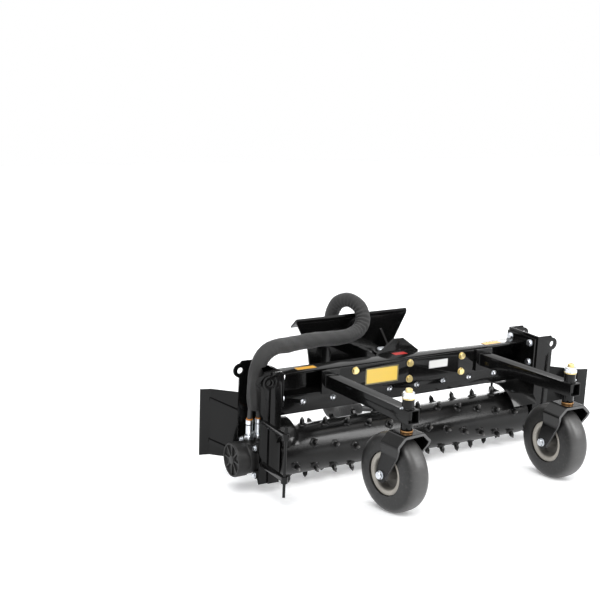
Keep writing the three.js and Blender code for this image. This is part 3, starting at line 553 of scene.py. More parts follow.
# %% Plated metals
def plated(name, pale, deep, rough=0.24, cloud_scale=38.0):
    paint = Paint(name, metallic=1.0)
    cloud = paint.noise(cloud_scale, 4.0, 0.6)
    fine = paint.noise(520.0, 2.0)
    color = paint.mix(cloud.between(0.3, 0.7), pale, deep)
    return paint.finish(base_color=color, roughness=rough + cloud * 0.16,
                        normal=paint.bump(fine, 0.00006, 0.5))


bright_zinc = plated("bright_zinc", (0.80, 0.82, 0.85, 1), (0.62, 0.65, 0.69, 1))
yellow_zinc = plated("yellow_zinc", (0.86, 0.70, 0.36, 1), (0.62, 0.50, 0.20, 1), 0.22, 60.0)
bronze = plated("oiled_bronze", (0.72, 0.40, 0.17, 1), (0.45, 0.22, 0.08, 1), 0.3, 80.0)
print("plated metals made")

# %% [markdown]
# Cast housings keep the grain of the sand they were poured in, softened by paint.

# %% Cast black and plain coats
def cast_black():
    paint = Paint("motor_cast_black", specular=0.25)
    grain = paint.noise(260.0, 4.0, 0.6)
    cloud = paint.noise(14.0, 3.0)
    color = paint.mix(cloud, grey(0.007), grey(0.022, 0.03))
    return paint.finish(base_color=color, roughness=0.34 + cloud * 0.2, normal=paint.bump(grain, 0.0005, 0.7))


def plain_coat(name, color, rough):
    """One colour with slight clouds, for small parts."""
    paint = Paint(name, specular=0.3)
    cloud = paint.noise(30.0, 4.0, 0.6)
    dull = tuple(c * 0.7 for c in color[:3]) + (1,)
    height = paint.noise(300.0, 2.0)
    return paint.finish(base_color=paint.mix(cloud, color, dull), roughness=rough + cloud * 0.15,
                        normal=paint.bump(height, 0.0001, 0.4))


motor_black = cast_black()
# A lighter grey for the narrow faces of the casters' fork straps.
narrow_face_grey = plain_coat("lighter_narrow_face", grey(0.10), 0.4)
orange_ring = plain_coat("orange_ring", (0.62, 0.22, 0.03, 1), 0.35)
print("cast and plain finishes made")

# %% [markdown]
# The rims have a warm grey paint, darkened inside the dish by painted shade. The tyres are smooth solid
# rubber:
# their sides keep faint rings from the turned mould, and the tread is painted lighter, partly the grey of
# rolling wear and partly a painted highlight.
# All of it follows the distance from the wheel's axle.

# %% Rim paint and tyre rubber
def rim_paint(name, hub, spin):
    paint = Paint(name)
    # Painted shade: within 57 mm of the axle the rim's grey is darkened, and it fades back to the grey by 65
    # mm.
    past_painted_dish_shade = paint.from_axis(hub, spin).between(0.057, 0.065)
    cloud = paint.noise(16.0, 4.0, 0.6)
    speck = paint.noise(300.0, 2.0).between(0.62, 0.72)
    color = paint.mix(cloud.between(0.25, 0.8), (0.40, 0.375, 0.33, 1), (0.28, 0.26, 0.23, 1))
    color = paint.mix(past_painted_dish_shade, (0.10, 0.095, 0.085, 1), color)
    color = paint.mix(speck * 0.35, color, grey(0.09))
    return paint.finish(base_color=color, roughness=0.42 + cloud * 0.2,
                        normal=paint.bump(paint.noise(420.0, 2.0), 0.0001, 0.5))


def tyre_rubber(name, hub, spin):
    paint = Paint(name, specular=0.45)
    reach = paint.from_axis(hub, spin)
    cloud = paint.noise(18.0, 5.0, 0.6)
    scuff = paint.noise(30.0, 5.0, 0.7, paint.stretched((1.0, 3.0, 3.0)))
    # The tread is painted lighter than the sides: partly the grey of rolling wear, and partly a painted
    # highlight.
    tread_wear_and_highlight = reach.between(0.128, 0.146)
    mould = (reach * 2400.0).sine() * (1 - tread_wear_and_highlight)
    color = paint.mix(tread_wear_and_highlight * 0.85, grey(0.006), grey(0.055, 0.02))
    color = paint.mix(scuff.between(0.5, 0.75) * 0.3, color, grey(0.09, 0.06))
    height = mould * 0.35 + paint.noise(340.0, 3.0) * 0.6
    return paint.finish(base_color=color, roughness=0.3 + cloud * 0.14,
                        normal=paint.bump(height, 0.00025, 0.6))


HUBS = {side: np.array(JOINTS[f"wheel_spin_{side}"]["pos_m"]) for side in SIDES}
SPINS = {side: np.array(JOINTS[f"wheel_spin_{side}"]["axis"]) for side in SIDES}
tyre_black = {side: tyre_rubber(f"tyre_rubber_{side}", HUBS[side], SPINS[side]) for side in SIDES}
rim_grey = {side: rim_paint(f"rim_warm_grey_{side}", HUBS[side], SPINS[side]) for side in SIDES}
print("tyre and rim finishes made")

# %% [markdown]
# The hose sleeve is woven nylon. Warp and weft go over and under each other like a basket,
# so the weave is a product of two waves laid on the tube's own map: u round it, v along it in metres.

# %% Woven sleeve and hose rubber
THREADS_ROUND = 96.0
THREADS_ALONG = 460.0


def woven(name):
    paint = Paint(name, sheen=0.1, specular=0.3)
    round_it = paint.part(paint.uv(), "X")
    along = paint.part(paint.uv(), "Y")
    warp = (round_it * (THREADS_ROUND * 2 * math.pi)).sine()
    weft = (along * (THREADS_ALONG * 2 * math.pi)).sine()
    weave = (warp * weft) * 0.5 + 0.5
    cloud = paint.noise(26.0, 4.0, 0.6)
    dusty = paint.noise(7.0, 3.0).between(0.35, 0.75)
    color = paint.mix(weave * 0.45 + cloud * 0.3, grey(0.014), grey(0.036, 0.02))
    color = paint.mix(dusty * 0.3, color, grey(0.05, 0.03))
    return paint.finish(base_color=color, roughness=0.62 + cloud * 0.16,
                        normal=paint.bump(weave + cloud * 0.5, 0.0005, 0.7))


def hose_rubber(name):
    paint = Paint(name)
    along = paint.part(paint.uv(), "Y")
    wrap = (along * (2 * math.pi * 900.0) + paint.part(paint.uv(), "X") * (2 * math.pi * 4.0)).sine()
    cloud = paint.noise(40.0, 3.0)
    color = paint.mix(cloud, grey(0.018), grey(0.042))
    return paint.finish(base_color=color, roughness=0.42 + cloud * 0.15, normal=paint.bump(wrap, 0.0001, 0.5))


sleeve_cloth = woven("woven_sleeve")
hose_black = hose_rubber("hose_rubber")
print("sleeve and hose finishes made")

# %% [markdown]
# The stickers on the frame are left blank: plain vinyl with a border, in the colours that such places have.

# %% Plain vinyl
def vinyl(name, color, edge):
    paint = Paint(name, coat=0.3, coat_roughness=0.15)
    u = paint.part(paint.uv(), "X")
    v = paint.part(paint.uv(), "Y")
    inside = u.between(0.03, 0.05) * (1 - u.between(0.95, 0.97))
    inside = inside * v.between(0.06, 0.1) * (1 - v.between(0.9, 0.94))
    cloud = paint.noise(60.0, 3.0)
    shade = paint.mix(inside, edge, color)
    shade = paint.mix(cloud * 0.12, shade, grey(0.25))
    return paint.finish(base_color=shade, roughness=0.3 + cloud * 0.15)


yellow_vinyl = vinyl("yellow_vinyl", (0.69, 0.46, 0.05, 1), (0.10, 0.08, 0.02, 1))
amber_vinyl = vinyl("amber_vinyl", (0.80, 0.40, 0.03, 1), (0.12, 0.07, 0.02, 1))
white_vinyl = vinyl("white_vinyl", (0.62, 0.62, 0.60, 1), (0.42, 0.42, 0.42, 1))
red_plastic = vinyl("red_plastic", (0.55, 0.02, 0.015, 1), (0.40, 0.015, 0.01, 1))
print("vinyl made")

# %% [markdown]
# The record names a slot for every piece, and this table gives most slots their finish.
# Hoses and sleeve get theirs below, and rims and tyres have one for each side.

# %% Finishes by slot
def dress(piece, material):
    """Gives a piece its finish."""
    piece.data.materials.clear()
    piece.data.materials.append(material)
    return piece


FINISH = {
    "frame_black": frame_black,
    "drum_black": worn_black,
    "motor_black": motor_black,
    "zinc": bright_zinc,
    "yellow_zinc": yellow_zinc,
    "bronze": bronze,
}
print("slots with a finish:", ", ".join(FINISH))

# %% [markdown]
# A hose lies to one side of the sleeve's middle line by its lane. It starts beside its neighbour along
# the drum, and ends beside it across the machine, so the lane turns slowly about the line on its way.

# %% Hoses
def ramp(line, start, end):
    """0 before one distance along the line, 1 after another, and 3s^2 - 2s^3 between them."""
    far = along_line(line)
    share = np.clip((far - start) / (end - start), 0, 1)
    return share**2 * (3 - 2 * share)


# The lanes start to turn this far along the sleeve, and are done this far before its end, in metres.
TURN_START, TURN_REST = 0.9, 0.25
# A hose's curve goes through every twelfth point of its lane.
EVERY_POINT = 12


def hose_line(number):
    """A hose's line: straight up from its port, along its lane in the sleeve, and out to its coupler."""
    sign = WAY_OUT[number]
    lane = HOSE_LANE * sign
    port = place((PORTS[number - 1], 0, FITTING_TOP))
    rise = place((PORTS[number - 1], 0, FITTING_TOP + STUB / 3))
    line = sleeve_line[3:-3]
    way = unit(np.gradient(line, axis=0))
    carried = frames_on(line, MACHINE[0])[0]
    share = ramp(line, TURN_START, along_line(line)[-1] - TURN_REST)[:, None]
    side = unit((1 - share) * carried + share * LEVEL[1])
    side = unit(side - (side * way).sum(axis=1)[:, None] * way)
    inside = line + side * lane * MM
    out_y = END_Y + sign * COUPLER_LANE
    tail = place([(END_X + TAIL * 2 / 3, out_y - sign, COUPLER_Z + 0.6), (END_X + TAIL, out_y, COUPLER_Z)],
                 LEVEL)
    through = np.concatenate([[port, rise], inside[4::EVERY_POINT], tail])
    return relaxed(smooth_line(through, HOSE_STEP), RELAX)


def tightest(line):
    """The smallest radius of a circle through neighbouring points: 1 / |change of direction per metre|."""
    return float(1 / np.linalg.norm(turning(line), axis=1)[3:-3].max())


def lay_uv(mesh, line):
    """u runs once round a tube and v is the distance along it in metres, from each corner's nearest ring."""
    far = along_line(line)
    points = points_of(mesh)
    side, over = frames_on(line)
    at = nearest_on(line, points)
    offset = points - line[at]
    u = np.arctan2((offset * over[at]).sum(axis=1), (offset * side[at]).sum(axis=1)) / (2 * math.pi)
    uv = np.stack([u, far[at]], axis=1)[corners_of(mesh)]
    starts = np.repeat([p.loop_start for p in mesh.polygons], [p.loop_total for p in mesh.polygons])
    uv[:, 0] += np.round(uv[starts, 0] - uv[:, 0])
    layer = mesh.uv_layers.new(name="map")
    layer.data.foreach_set("uv", uv.ravel())
    return mesh


def nearest_on(line, points, slice_size=4000):
    """The number of the line's point nearest to each point, in slices that keep memory small."""
    slices = [points[start:start + slice_size] for start in range(0, len(points), slice_size)]
    return np.concatenate([((part[:, None] - line) ** 2).sum(axis=2).argmin(axis=1) for part in slices])


HOSE_SIDES = 20
HOSE_LINES = {number: hose_line(number) for number in (1, 2)}
hoses = {}
for number, line in HOSE_LINES.items():
    mesh = lay_uv(mesh_of(f"hose_{number}", *tube(line, HOSE_RADIUS * MM, HOSE_SIDES)), line)
    hose = finish_piece(f"hose_{number}", mesh, "frame", (f"hose_stub_{number}", f"hose_tail_{number}"))
    hose.data.materials.append(hose_black)
    hoses[number] = hose
    print(f"hose {number}:", round(float(along_line(line)[-1]), 3), "m, tightest bend",
          round(tightest(line) * 1000), "mm")

# %% [markdown]
# The sleeve is slack cloth round two hoses, with upright pleats where it leaves the motor
# and folds where the route bends. A fold is a ring that stands a few millimetres proud, strongest on the
# inside of the bend, and its edge wanders, so the rings of a bend never look stamped.

# %% Woven sleeve
SLEEVE_SIDES = 72
# Folds gather within reach of a point over the hitch, and stand a pitch apart.
# Pleats have faded out at their end, all in metres along the sleeve but the point, which is in mm.
CRUMPLE, CRUMPLE_REACH = (0, 330, 395), 0.11
FOLD_PITCH, PLEATS_END = 0.021, 0.26
# A bend this sharp, per metre, has full folds. The cloth draws in over the last few centimetres of each end.
FULL_BEND, DRAWN_IN = 9.0, 0.03
# No point of the cloth lies nearer to the floor than this.
LEAST_HEIGHT = 0.0012
sleeve_fine = relaxed(smooth_line(sleeve_points, SLEEVE_STEP), RELAX)


def sleeve_radius(line):
    """Radius for each ring and side, in metres: r0 + folds * bend + slack - pleats, drawn in at the ends."""
    side, over = frames_on(line)
    angle = circle(SLEEVE_SIDES)
    far = along_line(line)
    kernel = np.hanning(31) / np.hanning(31).sum()
    padded = np.pad(turning(line), ((15, 15), (0, 0)), mode="edge")
    turn = np.stack([np.convolve(padded[:, k], kernel, "valid") for k in range(3)], axis=1)
    bend = np.linalg.norm(turn, axis=1)
    inward = turn / np.maximum(bend, 1e-6)[:, None]
    toward = (side[:, None] * np.cos(angle)[:, None] + over[:, None] * np.sin(angle)[:, None])
    facing = (toward * inward[:, None]).sum(axis=2)
    strength = np.clip(bend / FULL_BEND, 0, 1)[:, None]
    run, a = far[:, None], angle[None]
    wander = 0.5 * np.sin(3 * a + run * 23) + 0.35 * np.sin(5 * a - run * 41)
    phase = run * (2 * math.pi / FOLD_PITCH) + wander * 0.9 + 1.6 * np.sin(run * 17)
    near = np.exp(-(np.linalg.norm(line - place(CRUMPLE), axis=1) / CRUMPLE_REACH) ** 2)[:, None]
    fold = np.sin(phase) * (0.55 + 0.45 * facing) * (0.2 + 0.8 * near)
    slack = 0.6 * np.sin(run * 37 + 2 * a) + 0.5 * np.sin(run * 71 - a * 3)
    ends = np.clip(np.minimum(far, far[-1] - far) / DRAWN_IN, 0, 1)[:, None]
    upright = np.clip(1 - far / PLEATS_END, 0, 1)[:, None]
    pleats = upright * 3.2 * np.sin(4 * a + 1.2 * np.sin(run * 19))
    radius = SLEEVE_RADIUS - 2.2 + ends * (2.6 * fold * strength + slack - np.abs(pleats))
    closing = 1 - 0.30 * (1 - np.sqrt(np.clip(ends, 0, 1)))
    return np.minimum(radius * closing, SLEEVE_RADIUS + 1.5) * MM


sleeve_mesh = mesh_of("hose_sleeve_cloth", *tube(sleeve_fine, sleeve_radius(sleeve_fine), SLEEVE_SIDES))
points = points_of(sleeve_mesh)
points[:, 2] = np.maximum(points[:, 2], LEAST_HEIGHT)
sleeve_mesh.vertices.foreach_set("co", points.ravel())
lay_uv(sleeve_mesh, sleeve_fine)
sleeve = finish_piece("hose_sleeve_cloth", sleeve_mesh, "frame", ("hose_sleeve",), math.radians(60))
dress(sleeve, sleeve_cloth)
print("sleeve points", len(sleeve_mesh.vertices))

# %% [markdown]
# Most pieces of a machine are either turned or flat. Turned ones are rings of points about an axis,
# and a hexagon is a ring too, whose radius swells at its six corners.

# %% Ways to make parts
def body_of(node):
    return frame["nodes"][node]["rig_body"]


def made(node, parts, slot, sharp=SHARP, replaces=True, name=None, material=None):
    """Several surfaces as one piece that stands for a node of the frame and moves with its body."""
    mesh = mesh_of(name or node, *gather(parts))
    piece = finish_piece(name or f"{node}_fine", mesh, body_of(node), (node,) if replaces else (), sharp)
    return dress(piece, material or FINISH[slot])


def added(name, node, parts, slot, **how):
    """A piece that moves with a node's body and replaces none of the frame's shapes."""
    return made(node, parts, slot, replaces=False, name=name, **how)


def hexagon(flats, start, end, centre, axis, **where):
    """A nut or bolt head: r(a) = half the flats / cos(a mod 60 - 30 degrees), with its free end coned."""
    half = flats / 2
    full = half / six_sided(circle(48))
    chamfer = (end - start) * 0.16
    inner = np.zeros_like(full)
    coned = [np.minimum(full, half * share) for share in (1.05, 0.97)]
    rows = [inner, full * 0.995, full, full, *coned, inner]
    heights = [start, start, start + chamfer * 0.1, end - chamfer * 1.5, end - chamfer * 0.7, end, end]
    return rings(rows, heights, centre, axis, **where)


def disc(radius, start, end, centre=(0, 0, 0), axis=2, bore=0.0, edge=0.6, sides=48, **where):
    """A washer or short rod between two heights, with its rims rounded."""
    way = 1 if end > start else -1
    edge = min(edge, abs(end - start) / 2.2)
    corner = [[bore, start], [radius - edge, start], [radius - edge * 0.3, start + way * edge * 0.3],
              [radius, start + way * edge], [radius, end - way * edge],
              [radius - edge * 0.3, end - way * edge * 0.3], [radius - edge, end], [bore, end]]
    return turned(corner, centre, axis, sides, **where)


def bolt_head(flats, height, washer_radius, washer, centre, axis, way, grow):
    """A washer with a six-sided head on it, both grown a little so that they cover the plain ones."""
    at = np.asarray(centre, float)
    step = way * (washer + grow)
    return [
        disc(washer_radius + grow, -way * 0.6, step, at, axis),
        hexagon(flats + 2 * grow, way * washer * 0.5, way * (washer + height + grow), at, axis),
    ]


print("part helpers ready")

# %% [markdown]
# Flat pieces keep the frame's own shape, with every hard edge eased by a small rounding,
# because no cut or rolled steel edge is perfectly sharp and the rounding catches the light.
# A weld bead is a tube whose radius ripples.

# %% Eased plates and weld beads
# Faces that turn less than the first angle are joined, and edges sharper than the second are rounded.
FLAT, HARD = math.radians(1.5), math.radians(26)


def eased(node, width, cut=None, extra=()):
    """A copy of a frame's piece with its edges rounded: doubled points merged, flat triangles joined,
    then bevelled. A cut is a point and a direction past which the copy is taken off, and the extra
    surfaces are then added."""
    mesh = frame["nodes"][node].data.copy()
    work = bmesh.new()
    work.from_mesh(mesh)
    bmesh.ops.remove_doubles(work, verts=work.verts, dist=2e-5)
    if cut:
        everything = work.verts[:] + work.edges[:] + work.faces[:]
        bmesh.ops.bisect_plane(work, geom=everything, plane_co=cut[0], plane_no=cut[1], clear_outer=True)
        bmesh.ops.holes_fill(work, edges=[e for e in work.edges if e.is_boundary], sides=0)
    for points, faces in extra:
        spots = [work.verts.new(point) for point in points]
        for face in faces:
            work.faces.new([spots[i] for i in face])
    bmesh.ops.dissolve_limit(work, angle_limit=FLAT, verts=work.verts, edges=work.edges)
    hard = [e for e in work.edges if len(e.link_faces) == 2 and e.calc_face_angle(0.0) > HARD]
    bmesh.ops.bevel(work, geom=hard, offset=width * MM, segments=2, profile=0.6, affect="EDGES",
                    clamp_overlap=True)
    bmesh.ops.recalc_face_normals(work, faces=work.faces)
    work.to_mesh(mesh)
    work.free()
    if "custom_normal" in mesh.attributes:
        mesh.attributes.remove(mesh.attributes["custom_normal"])
    piece = finish_piece(f"{node}_eased", mesh, body_of(node), (node,))
    return dress(piece, frame_black)


# A weld's radius and the length of a scale, in mm, and the distance between its rings, in metres.
WELD_RADIUS, RIPPLE, BEAD_STEP = 3.0, 2.6, 0.0011


def bead(points):
    """A weld: a low ridge along a joint, with the overlapping scales that each puddle left.
    r = r0 * (0.9 + 0.16 * saw of the length + two slow waves), drawn in at both ends."""
    line = even_line(place(points), BEAD_STEP)
    far = along_line(line) / MM
    saw = 1 - np.mod(far / RIPPLE, 1.0)
    swell = 0.9 + 0.16 * saw + 0.05 * np.sin(far * 0.31) + 0.04 * np.sin(far * 0.13 + 1)
    ends = np.sqrt(np.clip(np.minimum(far, far[-1] - far) / (WELD_RADIUS * 1.2), 0.04, 1))
    return tube(line, WELD_RADIUS * MM * swell * ends, 10, (0.31, 0.87, 0.37))


print("plate and weld helpers ready")

# %% [markdown]
# The drum is a long tube. Its 78 teeth stand in six rows that turn slowly round it, like a coarse screw,
# so only a few bite at a time. Each is a six-sided bar ground to a point, with a ring of weld at its foot.

# %% Toothed drum
DRUM = {"radius": 95.0, "wall": 8.0, "half": 616.0, "rows": 6, "each": 13, "pitch": 92.0, "turn": 1.4}


def tooth_surface():
    """A six-sided point on a ring of weld: each height's radius, drawn towards a hexagon's above the weld."""
    weld = [[19.0, 93.4], [18.2, 95.6], [16.8, 97.6], [14.6, 99.2], [12.4, 100.4]]
    body = [[11.0, 100.8], [11.0, 107.0], [10.8, 113.6], [10.0, 115.6], [6.0, 121.8], [2.2, 127.4],
            [1.0, 128.6], [0.0, 129.0]]
    profile = np.array(weld + body)
    angle = circle(24)
    hexed = math.cos(math.pi / 6) / six_sided(angle)
    is_weld = np.arange(len(profile))[:, None] < len(weld)
    lumps = 1 + 0.05 * np.sin(angle * 7) + 0.03 * np.sin(angle * 4 + 1)
    radius = profile[:, :1] * np.where(is_weld, lumps, hexed)
    heights = np.repeat(profile[:, 1:2], len(angle), axis=1)
    return np.stack([radius * np.cos(angle), radius * np.sin(angle), heights], axis=-1)


def all_teeth():
    """Each tooth turned about the drum's axis by its row's angle plus the slow helix, then slid along it."""
    tooth = tooth_surface()
    parts = []
    for row in range(DRUM["rows"]):
        share = row / DRUM["rows"]
        for i in range(DRUM["each"]):
            x = (i - (DRUM["each"] - 1) / 2) * DRUM["pitch"] + (share - 0.5) * DRUM["pitch"] / 2
            turn = 2 * math.pi * share + DRUM["turn"] * x / DRUM["half"]
            c, s = math.cos(turn), math.sin(turn)
            grid = np.stack([tooth[..., 0] + x, tooth[..., 1] * c - tooth[..., 2] * s,
                             tooth[..., 1] * s + tooth[..., 2] * c], axis=-1)
            parts.append(sheet(place(grid), round_columns=True))
    return parts


edge = DRUM["half"]
inner_radius = DRUM["radius"] - DRUM["wall"]
tube_profile = soften([[inner_radius, -edge + 30], [inner_radius, -edge], [DRUM["radius"], -edge],
                       [DRUM["radius"], edge], [inner_radius, edge], [inner_radius, edge - 30]], 1.5)
skin = np.stack([np.full(60, DRUM["radius"]), np.linspace(-edge + 6, edge - 6, 60)], axis=1)
tube_profile = np.concatenate([tube_profile[:8], skin, tube_profile[-8:]])
barrel = turned(tube_profile, axis=0, sides=160)
drum_piece = made("toothed_drum", [barrel] + all_teeth(), "drum_black")
print("drum with", DRUM["rows"] * DRUM["each"], "teeth:", len(drum_piece.data.vertices), "points")

SHAFT_END = {"left": 674.0, "right": 666.0}
for side, sign in SIDES.items():
    profile = [[0, 596], [86.6, 596], [86.6, 606], [34, 606], [34, 616], [17, 616]]
    profile = soften(profile + [[17, SHAFT_END[side]], [0, SHAFT_END[side]]], 1.0)
    made(f"drum_end_{side}", [turned(profile * [1, sign], axis=0, sides=96)], "drum_black")

# %% [markdown]
# The frame's plates and channels keep their shapes, with eased edges. The left channel's front flange
# is the one exception: it is cut off and a narrow one with a standing ear takes its place.

# %% Frame plates
# How far the edges are rounded, in mm: thick plates, thin ones, the face plate and the strip.
THICK, THIN, FACE, STRIP_EDGE = 1.6, 1.3, 1.5, 1.2
for node in ("side_channel_right", "cross_beam", "strip_hanger", "hitch_yoke",
             "hitch_tongue", "receiver_plate", "receiver_hook", "motor_plate"):
    eased(node, THICK)

# The left channel's front flange is narrow beside the motor, and its ear stands out from it.
FLANGE_FRONT, FLANGE_BACK = -98.0, -90.0
WEB, FLANGE_EDGE, FLANGE_FOOT, FLANGE_TOP = -630, -677, -80, 360
EAR_X, EAR_Z, EAR_RADIUS, EAR_HOLE, NOTCH = -685, 322, 28, 12.5, 20
turns = np.radians(np.linspace(-66, 90, 14))
notch = [(EAR_X + NOTCH * math.cos(turn), EAR_Z + NOTCH * math.sin(turn)) for turn in turns]
flange = np.array([(WEB, FLANGE_FOOT), (FLANGE_EDGE, FLANGE_FOOT), *notch, (EAR_X, 350), (-672.5, 350),
                   (-672.5, FLANGE_TOP), (WEB, FLANGE_TOP)])
flange = np.stack([np.insert(flange, 1, y, axis=1) for y in (FLANGE_FRONT, FLANGE_BACK)])
ear = turned([[EAR_HOLE, FLANGE_FRONT], [EAR_RADIUS, FLANGE_FRONT], [EAR_RADIUS, FLANGE_BACK],
              [EAR_HOLE, FLANGE_BACK]], (EAR_X, 0, EAR_Z), 1, 48, ring=True)
behind_flange = (place((0, FLANGE_BACK, 0)), -REAR)
eased("side_channel_left", THICK, behind_flange, (swept(place(flange)), ear))
for side in SIDES:
    for node in ("beam_pad", "wheel_arm", "end_plate", "wing_hinge"):
        eased(f"{node}_{side}", THIN)
eased("face_plate", FACE)
eased("deflector_strip", STRIP_EDGE)
print("frame plates eased")

# %% [markdown]
# Plated bolt heads are set over the frame's plain ones.

# %% Bolts on the frame
# Each kind of bolt: its width across flats, its head's height, and its washer's radius and thickness.
FACE_BOLT = (24, 8, 15, 3)
PAD_BOLT = (24, 9, 15, 3)
PLATE_BOLT = (19, 8, 12, 2.5)
LUG_BOLT = (17, 7, 11, 2)
BEARING_BOLT = (13, 4.5, 8, 1.2)


def bolt_set(name, node, slot, kind, spots, axis, way, grow=0.4):
    """One piece with a bolt head at each spot."""
    heads = []
    for spot in spots:
        heads += bolt_head(*kind, spot, axis, way, grow)
    return added(name, node, heads, slot)


FACE_FRONT, FACE_COLUMN, FACE_ROWS = -38.3, 265, (237, 304)
spots = [(column * FACE_COLUMN, FACE_FRONT, z) for column in (-1, 0, 1) for z in FACE_ROWS]
bolt_set("face_bolts", "face_plate", "yellow_zinc", FACE_BOLT, spots, 1, -1)

PAD_FACE, PAD_COLUMNS, PAD_ROWS = 617.7, (-64, 62), (244, 328)
for side, sign in SIDES.items():
    spots = [(sign * PAD_FACE, y, z) for y in PAD_COLUMNS for z in PAD_ROWS]
    bolt_set(f"pad_bolts_{side}", f"beam_pad_{side}", "zinc", PAD_BOLT, spots, 0, -sign)


def dome_head(centre, radius=13.4, height=8.4):
    """A carriage bolt's head: h = height * (1 - (r/R)^2.4), a low dome with a thin rim."""
    share = np.linspace(1, 0, 9)
    profile = np.stack([radius * share, 1.2 + (height - 1.2) * (1 - share**2.4)], axis=1)
    profile = np.concatenate([[[0, -0.6], [radius, -0.6], [radius, 0.8]], profile])
    return turned(profile * [1, -1], centre, 1, 48)


STRIP_BOLTS, STRIP_PITCH, STRIP_FRONT, STRIP_ROW = 8, 136.5, -4.0, 193.0
domes = [dome_head(((i - (STRIP_BOLTS - 1) / 2) * STRIP_PITCH, STRIP_FRONT, STRIP_ROW))
         for i in range(STRIP_BOLTS)]
added("strip_bolts", "deflector_strip", domes, "zinc")

PLATE_FACE, PLATE_SPOT = -652.3, 64
spots = [(PLATE_FACE, y, z) for y in (-PLATE_SPOT, PLATE_SPOT) for z in (-PLATE_SPOT, PLATE_SPOT)]
bolt_set("motor_plate_bolts", "motor_plate", "zinc", PLATE_BOLT, spots, 0, -1)
print("bolts set")

# %% [markdown]
# The end guards are plates rolled to an arc about the drum's axis, one narrow and one wide.

# %% End guards
GUARD_WIDTH = {"left": 78.0, "right": 128.0}
GUARD_OUTER, GUARD_IN, GUARD_OUT = 629.7, 137.0, 143.0
GUARD_TURNS = np.radians(np.linspace(62, 150, 56))


def curved_guard(side, sign):
    """A rolled plate: a rounded oblong of width by thickness carried round an arc about the drum's axis."""
    outer, inner = GUARD_OUTER, GUARD_OUTER - GUARD_WIDTH[side]
    middle = (GUARD_IN + GUARD_OUT) / 2
    corner = soften([[outer, middle], [outer, GUARD_IN], [inner, GUARD_IN], [inner, GUARD_OUT],
                     [outer, GUARD_OUT], [outer, middle]], 1.2, 2)[:-1]
    across, out = corner[None, :, 0] * sign, corner[None, :, 1]
    angle = GUARD_TURNS[:, None]
    grid = np.stack(np.broadcast_arrays(across, out * np.cos(angle), out * np.sin(angle)), axis=-1)
    return swept(place(grid))


for side, sign in SIDES.items():
    made(f"end_guard_{side}", [curved_guard(side, sign)], "frame_black")
print("guards made")

# %% [markdown]
# The motor is a round cast body with two ports on top and four bolted lugs, and an end cap
# whose face has a rim and eight ribs.

# %% Motor
BODY_START, BODY_END, BODY_RADIUS, CASE_RADIUS = -652.6, -736.6, 62, 60
body_profile = soften([[17.3, BODY_START], [CASE_RADIUS, BODY_START], [CASE_RADIUS, -662],
                       [BODY_RADIUS, -664], [BODY_RADIUS, -700], [60.5, -702], [60.5, -712],
                       [BODY_RADIUS, -714], [BODY_RADIUS, -730], [58, BODY_END], [0, BODY_END]], 1.5)
body_parts = [turned(body_profile, axis=0, sides=128)]
boss = soften([[24, 50], [22, 58], [17.6, 64], [17.2, 73.2], [0, 74]], 2.0)
body_parts += [turned(boss, (x, 0, 0), 2, 48) for x in PORTS]
SCREW_RING, SCREW_DEGREES = 55, (20, 65, 115, 160, 200, 245, 295, 340)
for angle in np.radians(SCREW_DEGREES):
    centre = (0, SCREW_RING * math.cos(angle), SCREW_RING * math.sin(angle))
    body_parts.append(disc(7.5, -736, -738.2, centre, 0, edge=0.8, sides=24))
LUG_SPOT, LUG_FRONT, LUG_BACK = 54, -698, -712
lugs = [(0, LUG_SPOT * y, LUG_SPOT * z) for y in (-1, 1) for z in (-1, 1)]
body_parts += [disc(15, LUG_FRONT, LUG_BACK, centre, 0, edge=1.5) for centre in lugs]
made("motor_body", body_parts, "motor_black")
bolt_set("motor_body_bolts", "motor_body", "zinc", LUG_BOLT, np.add(lugs, (LUG_BACK, 0, 0)), 0, -1)

CAP_START, CAP_END, CAP_RADIUS, CAP_FLOOR = -736.9, -786.9, 67, -778
cap_profile = soften([[0, CAP_START], [64, CAP_START], [CAP_RADIUS, -739], [CAP_RADIUS, -781],
                      [64.5, CAP_END], [59, CAP_END], [57.6, CAP_FLOOR], [19, CAP_FLOOR],
                      [17, -786.6], [0, CAP_END]], 1.6)
cap_parts = [turned(cap_profile, axis=0, sides=128)]
RIBS = 8
rib = np.array([[-3.4, -776], [-3.0, -783.6], [-2.2, -784.6], [2.2, -784.6], [3.0, -783.6], [3.4, -776]])
reach = np.linspace(16, 60, 12)
for i in range(RIBS):
    angle = 2 * math.pi * i / RIBS
    out = np.array([0, math.cos(angle), math.sin(angle)])
    across = np.array([0, -math.sin(angle), math.cos(angle)])
    grid = reach[:, None, None] * out + rib[None, :, :1] * across + rib[None, :, 1:] * np.array([1, 0, 0])
    cap_parts.append(swept(place(grid)))
made("motor_cap", cap_parts, "motor_black")
print("motor made")

# %% [markdown]
# The hose ends screw into the ports: a six-sided swivel nut, a short neck and a crimped ferrule
# with the grooves that the press leaves. A collar and an orange ring sit on each hose above it.

